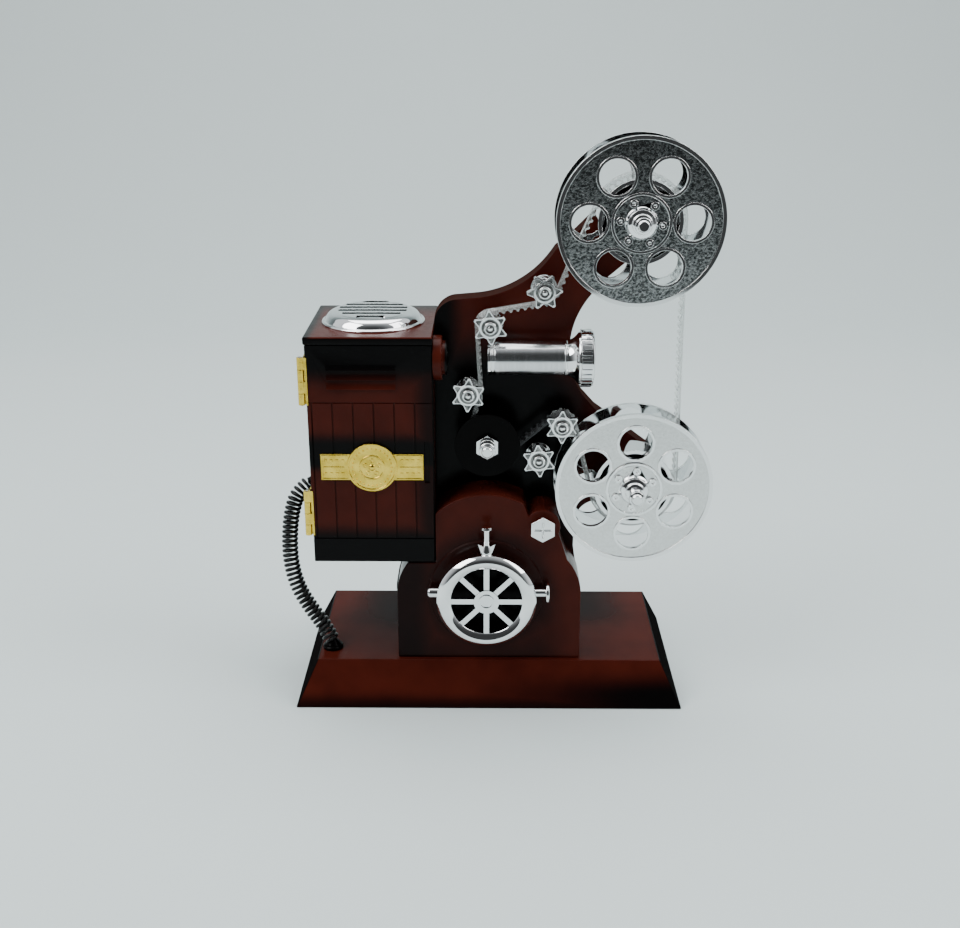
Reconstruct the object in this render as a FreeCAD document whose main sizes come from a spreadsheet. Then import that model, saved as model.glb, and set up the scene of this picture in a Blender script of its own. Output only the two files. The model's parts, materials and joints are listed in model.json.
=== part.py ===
"""A miniature film projector on a plinth, as a parametric assembly of separate pieces.

Frame: origin at the middle of the underside of the plinth, +X along the lens (to the right),
+Y to the rear, +Z up.  Everything is in millimetres.  Each piece is one object of the document,
with the Label that names its file, and its sizes come from the spreadsheet Dims.
"""
import FreeCAD, Part
import math
import os
import Sketcher

os.makedirs("parts", exist_ok=True)
doc = FreeCAD.newDocument("film_projector")
Vector = FreeCAD.Vector

DRIVING = {
    # plinth
    "base_length": 168, "base_depth": 85, "base_top_length": 150, "base_top_depth": 67,
    "base_height": 19, "base_wall": 2.5, "cover_thickness": 2, "cover_inset": 6,
    # column, in two half shells, with the housing of the movement behind its foot
    "body_front": -14, "body_half_depth": 5.25, "body_wall": 2, "housing_depth": 17.5,
    # gear case in front of the column
    "case_depth": 17.5, "case_wall": 2, "case_boss_radius": 24.5, "case_boss_height": 1,
    # mock motor on the gear case
    "motor_x": -1.05, "motor_z": 50.7, "motor_radius": 21.3, "motor_window": 15.1,
    "motor_depth": 9.5, "spoke_width": 2.3, "spoke_thickness": 1.4, "motor_hub": 5.35,
    # reels
    "reel_radius": 32.75, "disc_thickness": 1.5, "disc_relief": 0.5, "rim_width": 1.6,
    "window_radius": 6.8, "window_rim": 1.1, "window_circle": 20, "core_radius": 16.5,
    "core_length": 12.5, "hub_radius": 11.7, "spindle_radius": 2.5, "reel_gap": 2,
    "upper_x": 58.1, "upper_z": 208.6, "lower_x": 60.1, "lower_z": 98.8,
    # sprockets, with their rollers and posts
    "star_tip": 7.2, "star_valley": 4.8, "star_thickness": 1.7, "roller_radius": 4,
    "roller_length": 6.3, "post_radius": 1.6, "screw_radius": 2.5, "shank_radius": 0.9,
    # film belt
    "belt_width": 5, "belt_thickness": 1.9, "belt_gap": 0.3, "belt_front": 26.5,
    # drive drum under its round cover
    "drum_x": -0.9, "drum_z": 116.7, "drum_radius": 7.6, "cover_radius": 13.5, "cover_plate": 1.5,
    "drum_shaft": 2, "running_fit": 0.1,
    # lens
    "lens_y": -23.4, "lens_z": 152.8, "lens_radius": 6.85, "lens_bore": 5.4,
    "lens_length": 29.6, "flare_radius": 10.8, "spigot_radius": 9,
    "ring_radius": 11.8, "ring_length": 4.8, "snout_radius": 9.2,
    # lamp house
    "lamp_left": -74.4, "lamp_width": 51.5, "lamp_front": -31.5, "lamp_depth": 55.4,
    "lamp_bottom": 65.2, "lamp_height": 94.9, "lamp_wall": 2, "lid_thickness": 3.3,
    "lid_overhang": 0.4, "door_thickness": 2.5, "door_gap": 0.3, "vent_radius": 21.5,
    "vent_height": 5.2, "grille_radius": 14.4,
    # hinges
    "knuckle_radius": 1.4, "knuckle_length": 5, "pin_radius": 0.6, "leaf_thickness": 0.6,
    # clockwork
    "cylinder_radius": 6.5, "cylinder_z": 46, "barrel_x": -20, "barrel_radius": 10,
    "pulley_radius": 6, "drive_belt_size": 1.2,
    # curly cord
    "cord_diameter": 8, "gland_radius": 2.6, "gland_flange": 4.4,
}


class Size:
    """A number together with the spreadsheet expression that it comes from."""

    def __init__(self, value, text):
        self.value = float(value)
        self.text = text

    def __float__(self):
        return self.value

    def __neg__(self):
        return Size(-self.value, f"(-{self.text})")

    def __add__(self, other):
        other = as_size(other)
        return Size(self.value + other.value, f"({self.text} + {other.text})")

    def __sub__(self, other):
        return self + -as_size(other)

    def __mul__(self, other):
        other = as_size(other)
        return Size(self.value * other.value, f"({self.text} * {other.text})")

    def __truediv__(self, other):
        other = as_size(other)
        return Size(self.value / other.value, f"({self.text} / {other.text})")

    def __radd__(self, other):
        return as_size(other) + self

    def __rsub__(self, other):
        return as_size(other) - self

    __rmul__ = __mul__


def as_size(value):
    """The value as a Size; a plain number becomes a constant in the expression."""
    if isinstance(value, Size):
        return value
    return Size(value, f"({float(value):.6f})")


class Dimensions:
    """The spreadsheet's cells, by alias, as Size values."""


def make_sheet():
    """Put every driving dimension in the spreadsheet, as text, with its alias."""
    sheet = doc.addObject("Spreadsheet::Sheet", "Dims")
    dims = Dimensions()
    for row, (name, value) in enumerate(DRIVING.items(), start=1):
        sheet.set(f"A{row}", name)
        sheet.set(f"B{row}", str(value))
        sheet.setAlias(f"B{row}", name)
        setattr(dims, name, Size(value, f"Dims.{name}"))
    doc.recompute()
    return dims


d = make_sheet()
sub_parts = []

# The curly cord's route, from the gland on the lamp house to the gland on the plinth.
CORD_ROUTE = [(-77.2, -7, 92.6), (-83.6, -8.4, 88.2), (-86.7, -9.8, 79.3), (-88.0, -11.4, 67.8),
              (-87.8, -13.2, 56.0), (-84.9, -15.6, 45.3), (-79.2, -18.4, 36.4), (-72.6, -21.0, 28.4),
              (-69.4, -22.6, 21.4)]

# Rotations that lay a piece turned about its own Y axis along another axis.
ALONG_Y = FreeCAD.Rotation()
ALONG_X = FreeCAD.Rotation(Vector(0, 0, 1), -90)
ALONG_MINUS_X = FreeCAD.Rotation(Vector(0, 0, 1), 90)
ALONG_Z = FreeCAD.Rotation(Vector(1, 0, 0), 90)
# The lens barrel's own X axis points to the rear, so its foot does too.
ALONG_X_FOOT_BACK = ALONG_X.multiply(FreeCAD.Rotation(Vector(0, 1, 0), 180))


def new_body(label):
    """A PartDesign body that becomes one sub-part."""
    body = doc.addObject("PartDesign::Body", label)
    body.Label = label
    sub_parts.append(body)
    return body


def put(obj, x=0, y=0, z=0, rotation=ALONG_Y):
    """Set a sub-part's place, with the offsets bound to the sheet where they are sizes."""
    obj.Placement = FreeCAD.Placement(Vector(float(x), float(y), float(z)), rotation)
    for axis, value in (("x", x), ("y", y), ("z", z)):
        if isinstance(value, Size):
            obj.setExpression(f"Placement.Base.{axis}", value.text)


def new_sketch(body, plane="XZ_Plane", offset=0):
    """A sketch on one of the body's own origin planes, moved along the plane's normal."""
    sketch = body.newObject("Sketcher::SketchObject", f"{body.Name}_sketch")
    origin_plane = next(o for o in body.Origin.OriginFeatures if o.Role == plane)
    sketch.AttachmentSupport = [(origin_plane, "")]
    sketch.MapMode = "FlatFace"
    sketch.AttachmentOffset = FreeCAD.Placement(Vector(0, 0, float(offset)), ALONG_Y)
    if isinstance(offset, Size):
        sketch.setExpression("AttachmentOffset.Base.z", offset.text)
    return sketch


def fix_point(sketch, geometry, position, x, y):
    """Hold one point of a sketch at x, y."""
    for kind, axis, value in (("DistanceX", -2, x), ("DistanceY", -1, y)):
        if abs(float(value)) < 1e-6:
            sketch.addConstraint(Sketcher.Constraint("PointOnObject", geometry, position, axis))
            continue
        index = sketch.addConstraint(Sketcher.Constraint(kind, -1, 1, geometry, position, float(value)))
        if isinstance(value, Size):
            sketch.setExpression(f"Constraints[{index}]", value.text)


def add_circle(sketch, x, y, radius):
    """A circle whose centre and radius are bound."""
    centre = Vector(float(x), float(y), 0)
    index = sketch.addGeometry(Part.Circle(centre, Vector(0, 0, 1), float(radius)), False)
    held = sketch.addConstraint(Sketcher.Constraint("Radius", index, float(radius)))
    if isinstance(radius, Size):
        sketch.setExpression(f"Constraints[{held}]", radius.text)
    fix_point(sketch, index, 3, x, y)


def add_polygon(sketch, points):
    """A closed outline of straight sides."""
    corners = [Vector(float(x), float(y), 0) for x, y in points]
    first = sketch.GeometryCount
    for i, corner in enumerate(corners):
        sketch.addGeometry(Part.LineSegment(corner, corners[(i + 1) % len(corners)]), False)
    for i in range(len(corners)):
        after = first + (i + 1) % len(corners)
        sketch.addConstraint(Sketcher.Constraint("Coincident", first + i, 2, after, 1))
        fix_point(sketch, first + i, 1, *points[i])


def add_rectangle(sketch, x_from, x_to, y_from, y_to):
    """A rectangle between two bound corners."""
    add_polygon(sketch, [(x_from, y_from), (x_to, y_from), (x_to, y_to), (x_from, y_to)])


def add_wire(sketch, wire):
    """The edges of a flat wire in the XZ plane, held where they are."""
    for edge in wire.Edges:
        middle = edge.valueAt((edge.FirstParameter + edge.LastParameter) / 2)
        start, end = edge.valueAt(edge.FirstParameter), edge.valueAt(edge.LastParameter)
        flat = [Vector(p.x, p.z, 0) for p in (start, middle, end)]
        if edge.Curve.TypeId == "Part::GeomLine":
            geometry = Part.LineSegment(flat[0], flat[2])
        elif (flat[2] - flat[0]).Length < 1e-6:
            centre = edge.Curve.Center
            geometry = Part.Circle(Vector(centre.x, centre.z, 0), Vector(0, 0, 1), edge.Curve.Radius)
        else:
            turn = (flat[1] - flat[0]).cross(flat[2] - flat[1]).z
            ends = flat if turn > 0 else flat[::-1]
            geometry = Part.Arc(*ends)
        index = sketch.addGeometry(geometry, False)
        sketch.addConstraint(Sketcher.Constraint("Block", index))


def pad(body, sketch, length, backward=False):
    """Grow the body by the sketch's area."""
    feature = body.newObject("PartDesign::Pad", f"{body.Name}_pad")
    feature.Profile = sketch
    feature.Length = float(length)
    if isinstance(length, Size):
        feature.setExpression("Length", length.text)
    feature.Reversed = backward
    body.Tip = feature
    return feature


def pocket(body, sketch, length, backward=False):
    """Cut the sketch's area out of the body, and check that it removed something."""
    doc.recompute()
    before = body.Shape.Volume
    feature = body.newObject("PartDesign::Pocket", f"{body.Name}_pocket")
    feature.Profile = sketch
    feature.Length = float(length)
    if isinstance(length, Size):
        feature.setExpression("Length", length.text)
    feature.Reversed = backward
    body.Tip = feature
    doc.recompute()
    if body.Shape.Volume > before - 1e-3:
        raise RuntimeError(f"a pocket of {body.Label} removed nothing")
    return feature


def polar(body, feature, count):
    """Repeat a feature about the body's Y axis."""
    pattern = body.newObject("PartDesign::PolarPattern", f"{body.Name}_pattern")
    pattern.Originals = [feature]
    y_axis = next(o for o in body.Origin.OriginFeatures if o.Role == "Y_Axis")
    pattern.Axis = (y_axis, [""])
    pattern.Angle = 360
    pattern.Occurrences = count
    body.Tip = pattern
    return pattern


def lathe(label, profile):
    """A piece turned about its Y axis from a profile of (radius, y) points."""
    body = new_body(label)
    sketch = new_sketch(body, "XY_Plane")
    add_polygon(sketch, profile)
    feature = body.newObject("PartDesign::Revolution", f"{body.Name}_turned")
    feature.Profile = sketch
    feature.ReferenceAxis = (sketch, ["V_Axis"])
    feature.Angle = 360
    body.Tip = feature
    return body


def bulge(start, end, rise, count):
    """Points between two profile points on a bow that rises to the left of the way."""
    along_x, along_y = end[0] - start[0], end[1] - start[1]
    length = math.hypot(float(along_x), float(along_y))
    points = []
    for i in range(1, count):
        part = i / count
        lift = rise * math.sin(math.pi * part) / length
        points.append((start[0] + along_x * part - along_y * lift,
                       start[1] + along_y * part + along_x * lift))
    return points


def flat_wire(steps):
    """A closed wire in the XZ plane; a step is a corner, or a pair (middle, end) of an arc."""
    edges = []
    last = steps[0]
    for step in list(steps[1:]) + [steps[0]]:
        if isinstance(step[0], tuple):
            middle, end = step
            edges.append(Part.Arc(*(Vector(x, 0, z) for x, z in (last, middle, end))).toShape())
            last = end
            continue
        if math.dist(last, step) > 1e-6:
            ends = [Vector(x, 0, z) for x, z in (last, step)]
            edges.append(Part.LineSegment(*ends).toShape())
        last = step
    return Part.Wire(edges)


def inner_wire(wire, wall):
    """The same outline, one wall further in."""
    return wire.makeOffset2D(-float(wall), 0)


def frustum_sketch(body, length, depth, height):
    """A rectangle centred on the Z axis at a height."""
    sketch = new_sketch(body, "XY_Plane", height)
    add_rectangle(sketch, -length / 2, length / 2, -depth / 2, depth / 2)
    return sketch


def make_plinth():
    """The sloping hollow plinth, the bottom cover let into it and the screws that hold it."""
    shell = new_body("base_shell")
    low = frustum_sketch(shell, d.base_length, d.base_depth, 0)
    high = frustum_sketch(shell, d.base_top_length, d.base_top_depth, d.base_height)
    outside = shell.newObject("PartDesign::AdditiveLoft", "base_outside")
    outside.Profile = low
    outside.Sections = [high]
    doc.recompute()
    wall = d.base_wall * 2
    inner_low = frustum_sketch(shell, d.base_length - wall, d.base_depth - wall, 0)
    inner_high = frustum_sketch(shell, d.base_top_length - wall, d.base_top_depth - wall,
                                d.base_height - d.base_wall)
    inside = shell.newObject("PartDesign::SubtractiveLoft", "base_inside")
    inside.Profile = inner_low
    inside.Sections = [inner_high]
    shell.Tip = inside
    gland_hole = new_sketch(shell, "XY_Plane", d.base_height)
    add_circle(gland_hole, CORD_ROUTE[-1][0], CORD_ROUTE[-1][1], d.gland_radius)
    pocket(shell, gland_hole, d.base_wall + 1)

    cover = new_body("base_cover")
    plate = new_sketch(cover, "XY_Plane")
    inset = d.cover_inset * 2
    add_rectangle(plate, -(d.base_length - inset) / 2, (d.base_length - inset) / 2,
                  -(d.base_depth - inset) / 2, (d.base_depth - inset) / 2)
    pad(cover, plate, d.cover_thickness)
    posts = new_sketch(cover, "XY_Plane", d.cover_thickness)
    for x, y in SCREW_PLACES:
        add_circle(posts, x, y, 3)
    pad(cover, posts, d.base_height - d.base_wall - d.cover_thickness)
    holes = new_sketch(cover, "XY_Plane")
    for x, y in SCREW_PLACES:
        add_circle(holes, x, y, 1.2)
    pocket(cover, holes, 12, backward=True)
    sinks = new_sketch(cover, "XY_Plane")
    for x, y in SCREW_PLACES:
        add_circle(sinks, x, y, 2.6)
    pocket(cover, sinks, 1.2, backward=True)

    screws = doc.addObject("Part::Compound", "base_cover_screws")
    screws.Label = "base_cover_screws"
    links = []
    for i, (x, y) in enumerate(SCREW_PLACES):
        links.append(screw(f"base_screw_{i}", 2.4, 1.1, 1.2, 10, x, y, 0.1))
    screws.Links = links
    sub_parts.append(screws)


SCREW_PLACES = [(x, y) for x in (-62, 62) for y in (-24, 24)]


def screw(name, head, head_height, shank, shank_length, x, y, z):
    """A plain upright screw, head down, of two cylinders."""
    top = doc.addObject("Part::Cylinder", f"{name}_head")
    top.Radius, top.Height = head, head_height
    stem = doc.addObject("Part::Cylinder", f"{name}_stem")
    stem.Radius, stem.Height = shank, shank_length
    stem.Placement.Base = Vector(0, 0, head_height)
    whole = doc.addObject("Part::MultiFuse", name)
    whole.Shapes = [top, stem]
    whole.Placement.Base = Vector(x, y, z)
    return whole


# The column's silhouette: straight sides, hollows and the round ends of the two reel arms.
COLUMN = [
    (-41, 19), (-41, 42), ((-39.6, 52.5), (-34, 61)), (-22.9, 64), (-22.9, 164),
    ((-20.3, 171.6), (-13, 174.8)), (-4, 175.6), ((13, 181.7), (26.5, 195.3)), (34.7, 202.1),
    (49.6, 217.1), ((70.1, 208.6), (65.4, 199.1)), (47.7, 184), (41.1, 176.6),
    ((33, 153), (39, 134.1)), (44.4, 128.1), (68.7, 109.8), ((74.1, 98.8), (54, 86.2)),
    (46, 86.6), ((39.5, 83), (37, 75)), (36.8, 65.1), ((38.6, 54), (40.9, 43.2)), (41, 19),
]
REEL_AXES = {"upper": (d.upper_x, d.upper_z), "lower": (d.lower_x, d.lower_z)}
STAR_PLACES = {1: (21.7, 180.9, 34), 2: (0.2, 166.5, 5), 3: (-8.7, 138.3, -3),
               4: (29.9, 124.7, 0), 5: (20.6, 109.9, 5)}
# The housing of the movement, behind the column's foot.
HOUSING = [
    (-39, 19), (-39, 42), ((-37.6, 52.5), (-32, 61)), (-22.9, 64), (24, 64), ((35, 58), (39, 46)),
    (39, 19),
]
COLUMN_SCREWS = [(-16, 165), (26, 186), (30, 100)]
HOUSING_SCREWS = [(-35.5, 30), (35.5, 30)]
KNOB_PLACE = (22.5, 81.5)
BODY_MIDDLE = d.body_front + d.body_half_depth
BODY_BACK = d.body_front + d.body_half_depth * 2
HOUSING_BACK = BODY_BACK + d.housing_depth


def column_half(label, backward):
    """One half shell of the column: a plate with a rim that stands up to the joint."""
    body = new_body(label)
    put(body, 0, BODY_MIDDLE, 0)
    outline = flat_wire(COLUMN)
    face = new_sketch(body, "XZ_Plane")
    add_wire(face, outline)
    pad(body, face, d.body_half_depth, backward)
    room = new_sketch(body, "XZ_Plane")
    add_wire(room, inner_wire(outline, d.body_wall))
    pocket(body, room, d.body_half_depth - d.body_wall, not backward)
    return body


def make_column():
    """The two halves of the column, the bearings in them and the screws that join them."""
    front = column_half("body_front", False)
    holes = new_sketch(front, "XZ_Plane")
    for x, z in REEL_AXES.values():
        add_circle(holes, x, z, d.spindle_radius + d.running_fit)
    add_circle(holes, d.drum_x, d.drum_z, d.drum_shaft + d.running_fit)
    for x, z, _ in STAR_PLACES.values():
        add_circle(holes, x, z, d.post_radius)
    pocket(front, holes, d.body_half_depth + 1, True)

    rear = column_half("body_rear", True)
    plate_inside = d.body_half_depth - d.body_wall
    back = d.body_half_depth + d.housing_depth
    outline = flat_wire(HOUSING)
    housing = new_sketch(rear, "XZ_Plane", -plate_inside)
    add_wire(housing, outline)
    pad(rear, housing, d.housing_depth + d.body_wall, True)
    room = new_sketch(rear, "XZ_Plane", -plate_inside)
    add_wire(room, inner_wire(outline, d.body_wall))
    pocket(rear, room, d.housing_depth, False)

    # The bearings and posts end at the front half's wall, the drum's ahead of its pulley.
    bearings = new_sketch(rear, "XZ_Plane", -(plate_inside + 1))
    for x, z in REEL_AXES.values():
        add_circle(bearings, x, z, 5)
    for x, z in COLUMN_SCREWS:
        add_circle(bearings, x, z, 3)
    pad(rear, bearings, plate_inside * 2 + 0.9)
    drum_bearing = new_sketch(rear, "XZ_Plane", -(plate_inside + 1))
    add_circle(drum_bearing, d.drum_x, d.drum_z, 4)
    pad(rear, drum_bearing, 3)
    long_posts = new_sketch(rear, "XZ_Plane", -(back - 1))
    for x, z in HOUSING_SCREWS:
        add_circle(long_posts, x, z, 3)
    pad(rear, long_posts, back - 1 + plate_inside - 0.1)

    bores = new_sketch(rear, "XZ_Plane", -plate_inside)
    for x, z in REEL_AXES.values():
        add_circle(bores, x, z, d.spindle_radius + d.running_fit)
    add_circle(bores, d.drum_x, d.drum_z, d.drum_shaft + d.running_fit)
    pocket(rear, bores, plate_inside * 2, True)
    through = new_sketch(rear, "XZ_Plane", 2.2)
    for x, z in COLUMN_SCREWS + HOUSING_SCREWS:
        add_circle(through, x, z, 1.2)
    pocket(rear, through, back + 3, False)
    key_hole = new_sketch(rear, "XZ_Plane", -(back + 1))
    add_circle(key_hole, d.barrel_x, d.cylinder_z, 3)
    pocket(rear, key_hole, d.body_wall + 2, True)
    for places, depth in ((COLUMN_SCREWS, d.body_half_depth), (HOUSING_SCREWS, back)):
        sinks = new_sketch(rear, "XZ_Plane", -depth)
        for x, z in places:
            add_circle(sinks, x, z, 2.5)
        pocket(rear, sinks, 1.4, True)

    links = []
    backs = [(*place, BODY_BACK) for place in COLUMN_SCREWS]
    backs += [(*place, HOUSING_BACK) for place in HOUSING_SCREWS]
    for i, (x, z, y) in enumerate(backs):
        link = screw(f"body_screw_{i}", 2.3, 1.2, 1.2, 6, 0, 0, 0)
        put(link, x, y - 0.1, z, ALONG_Z)
        links.append(link)
    screws = doc.addObject("Part::Compound", "body_screws")
    screws.Label = "body_screws"
    screws.Links = links
    sub_parts.append(screws)


CASE = [
    (-39.5, 19), (-39.5, 50), ((-38.4, 57.3), (-34.6, 64.6)), (-22.6, 64.6), (-22.6, 87.2),
    ((-1, 96), (14.5, 91.8)), (16.5, 86), ((27.8, 86.8), (29.4, 78.6)), (33.3, 66),
    ((38.1, 57.8), (39.5, 50)), (39.5, 19),
]


def make_gear_case():
    """The arched hollow case in front of the column, with the round seat of the mock motor."""
    body = new_body("gear_case")
    outline = flat_wire(CASE)
    face = new_sketch(body, "XZ_Plane")
    add_wire(face, outline)
    pad(body, face, d.case_depth)
    seat = new_sketch(body, "XZ_Plane", d.case_depth)
    add_circle(seat, d.motor_x, d.motor_z, d.case_boss_radius)
    pad(body, seat, d.case_boss_height)
    room = new_sketch(body, "XZ_Plane")
    add_wire(room, inner_wire(outline, d.case_wall))
    pocket(body, room, d.case_depth - d.case_wall, True)
    hole = new_sketch(body, "XZ_Plane")
    add_circle(hole, *KNOB_PLACE, 2.1)
    pocket(body, hole, d.case_depth + 1, True)
    put(body, 0, d.body_front, 0)


def make_motor():
    """The chromed mock motor: spoked ring, dark back disc, two brush caps and an oil cup."""
    radius, depth, window = d.motor_radius, d.motor_depth, d.motor_window
    shoulder = (radius - 1, -(depth - 6))
    brow = (radius - 0.2, -(depth - 2))
    lip = (window + 0.2, -(depth - 1.4))
    profile = [(window, 0), (radius - 1, 0), shoulder]
    profile += bulge(shoulder, brow, 0.4, 4) + [brow]
    profile += bulge(brow, lip, 1.6, 12) + [lip, (window, -(depth - 1.6))]
    ring = lathe("motor_ring", profile)
    bar = new_sketch(ring, "XZ_Plane", depth - 3)
    add_rectangle(bar, -d.spoke_width / 2, d.spoke_width / 2, 2, window + 0.5)
    spoke = pad(ring, bar, d.spoke_thickness)
    polar(ring, spoke, 8)
    hub = new_sketch(ring, "XZ_Plane", depth - 3.4)
    add_circle(hub, 0, 0, d.motor_hub)
    pad(ring, hub, 2.2)
    boss = new_sketch(ring, "XZ_Plane", depth - 1.5)
    add_circle(boss, 0, 0, 3.4)
    add_circle(boss, 0, 0, 2.5)
    pad(ring, boss, 0.9)
    seat_y = d.body_front - d.case_depth - d.case_boss_height
    put(ring, d.motor_x, seat_y, d.motor_z)

    back = lathe("motor_back", [(0, 0), (window - 0.1, 0), (window - 0.1, -1), (0, -1)])
    put(back, d.motor_x, seat_y, d.motor_z)

    side = radius - 1.6
    cap = lathe("brush_cap_right", [(0, 0), (2.6, 0), (1.9, 1.2), (1.9, 5.5), (4.4, 5.5), (4.65, 5.8),
                                    (4.65, 6.6), (4.3, 6.9), (0, 6.9)])
    put(cap, d.motor_x + side, -36.5, d.motor_z + 2.5, ALONG_X)
    stub = lathe("brush_cap_left", [(0, 0), (2.4, 0), (2.4, 4.4), (2, 5.2), (0, 5.2)])
    put(stub, d.motor_x - side, -36.5, d.motor_z + 2.5, ALONG_MINUS_X)

    cup = lathe("oil_cup", [(0, 0), (2.6, 0), (2.2, 2.4), (1.2, 5.4), (1.2, 11.6), (2.2, 11.9),
                            (2.45, 12.4), (2.2, 13.2), (0, 13.6)])
    wings = new_sketch(cup, "XY_Plane", -1.2)
    add_polygon(wings, [(-2.2, 1.6), (2.2, 1.6), (3.65, 5.8), (1.2, 4.4), (-1.2, 4.4), (-3.65, 5.8)])
    pad(cup, wings, 2.4)
    put(cup, d.motor_x, -37, d.motor_z + d.motor_radius - 1.4, ALONG_Z)


def ring_of(sketch, x, z, radii):
    """Circles about one centre."""
    for radius in radii:
        add_circle(sketch, x, z, radius)


def around(radius, angle):
    """The point at a radius and an angle in degrees."""
    turn = math.radians(angle)
    return radius * math.cos(turn), radius * math.sin(turn)


def reel_disc(label, twist, raised):
    """A reel disc with six round windows; the raised one has a polished rim round each."""
    body = new_body(label)
    plate = new_sketch(body, "XZ_Plane")
    ring_of(plate, 0, 0, (d.reel_radius, d.spindle_radius + 1))
    for k in range(6):
        add_circle(plate, *around(d.window_circle, twist + 60 * k), d.window_radius)
    pad(body, plate, d.disc_thickness)
    if raised:
        rims = new_sketch(body, "XZ_Plane")
        ring_of(rims, 0, 0, (d.reel_radius, d.reel_radius - d.rim_width))
        for k in range(6):
            ring_of(rims, *around(d.window_circle, twist + 60 * k),
                    (d.window_radius + d.window_rim, d.window_radius))
        pad(body, rims, d.disc_thickness + d.disc_relief)
    return body


HUB_SCREW_CIRCLE = 8.2
HUB_SCREW_TURN = -6


def make_reel(name, twist, tip_reach):
    """A reel: two discs, the core between them, the hub plate and the spindle that turns in the arm."""
    x, z = REEL_AXES[name]
    back_y = d.body_front - d.reel_gap
    core_y = back_y - d.disc_thickness
    front_y = core_y - d.core_length
    put(reel_disc(f"{name}_reel_rear_disc", twist, False), x, back_y, z)
    put(reel_disc(f"{name}_reel_front_disc", twist, True), x, front_y, z)

    bore = d.spindle_radius
    middle = d.core_length / 2
    wall = d.core_radius - 1.6
    core = lathe(f"{name}_reel_core", [
        (bore, 0), (bore + 2.5, 0), (bore + 2.5, -(middle - 1)), (wall, -(middle - 1)), (wall, 0),
        (d.core_radius, 0), (d.core_radius, -d.core_length), (wall, -d.core_length),
        (wall, -(middle + 1)), (bore + 2.5, -(middle + 1)), (bore + 2.5, -d.core_length),
        (bore, -d.core_length)])
    put(core, x, core_y, z)

    plate_y = d.disc_thickness
    hub = lathe(f"{name}_reel_hub", [
        (bore, -plate_y), (d.hub_radius, -plate_y), (d.hub_radius, -(plate_y + 1)),
        (d.hub_radius - 1, -(plate_y + 1)), (d.hub_radius - 1.2, -(plate_y + 0.6)),
        (6.4, -(plate_y + 0.6)), (5.6, -(plate_y + 1.6)), (5.5, -(plate_y + 2.6)),
        (3.9, -(plate_y + 3.2)), (3.9, -(plate_y + 4.6)), (bore, -(plate_y + 5.2))])
    heads = new_sketch(hub, "XZ_Plane", plate_y + 0.5)
    for k in range(6):
        add_circle(heads, *around(HUB_SCREW_CIRCLE, twist + HUB_SCREW_TURN + 60 * k), 1.6)
    pad(hub, heads, 1.1)
    slots = new_sketch(hub, "XZ_Plane", plate_y + 1.6)
    for k in range(6):
        add_circle(slots, *around(HUB_SCREW_CIRCLE, twist + HUB_SCREW_TURN + 60 * k), 0.6)
    pocket(hub, slots, 0.5)
    put(hub, x, front_y, z)

    reach = d.disc_thickness + tip_reach
    ring = reach - 2.2
    in_column = d.body_half_depth * 2 - d.body_wall - 0.2
    length = d.core_length + d.disc_thickness + d.reel_gap + in_column
    spindle = lathe(f"{name}_reel_spindle", [
        (0, length), (bore, length), (bore, -(ring - 1.4)), (3.1, -(ring - 1)), (3.3, -ring),
        (3.1, -(ring + 0.6)), (2.2, -(ring + 0.9)), (2.4, -(reach - 0.6)), (1.9, -reach),
        (0, -reach)])
    put(spindle, x, front_y, z)


def make_sprocket(number):
    """A six-pointed star wheel in one piece with the film roller behind it, free on its post."""
    x, z, twist = STAR_PLACES[number]
    bore = d.post_radius + d.running_fit
    body = lathe(f"sprocket_{number}", [
        (bore, 0), (d.roller_radius + 1.3, 0), (d.roller_radius + 1.3, -0.8),
        (d.roller_radius, -0.8), (d.roller_radius, -(d.roller_length + 0.8)),
        (bore, -(d.roller_length + 0.8))])
    star = new_sketch(body, "XZ_Plane", d.roller_length + 0.7)
    points = []
    for k in range(6):
        angle = 90 + twist + 60 * k
        points.append(around(d.star_tip, angle - 4))
        points.append(around(d.star_tip, angle + 4))
        points.append(around(d.star_valley, angle + 22))
        points.append(around(d.star_valley, angle + 38))
    add_polygon(star, points)
    add_circle(star, 0, 0, bore)
    pad(body, star, d.star_thickness)
    ring = new_sketch(body, "XZ_Plane", d.roller_length + d.star_thickness)
    ring_of(ring, 0, 0, (4.4, 3.5))
    pad(body, ring, 1)
    put(body, x, STAR_BACK, z)


STAR_BACK = -19.7
STAR_FRONT = STAR_BACK - float(d.roller_length + d.star_thickness) - 0.7


def fixed_cylinders(name, places, radius, length, y, bore=None):
    """Equal cylinders that point to the front at several places, as one list of objects."""
    made = []
    for i, (x, z) in enumerate(places):
        post = doc.addObject("Part::Cylinder", f"{name}_{i}")
        post.setExpression("Radius", as_size(radius).text)
        post.Height = float(length)
        if bore:
            drill = doc.addObject("Part::Cylinder", f"{name}_bore_{i}")
            drill.setExpression("Radius", as_size(bore).text)
            drill.Height = float(length) / 2
            drill.Placement.Base = Vector(0, 0, float(length) / 2)
            cut = doc.addObject("Part::Cut", f"{name}_drilled_{i}")
            cut.Base, cut.Tool = post, drill
            post = cut
        post.Placement = FreeCAD.Placement(Vector(x, y, z), ALONG_Z)
        made.append(post)
    return made


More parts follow.
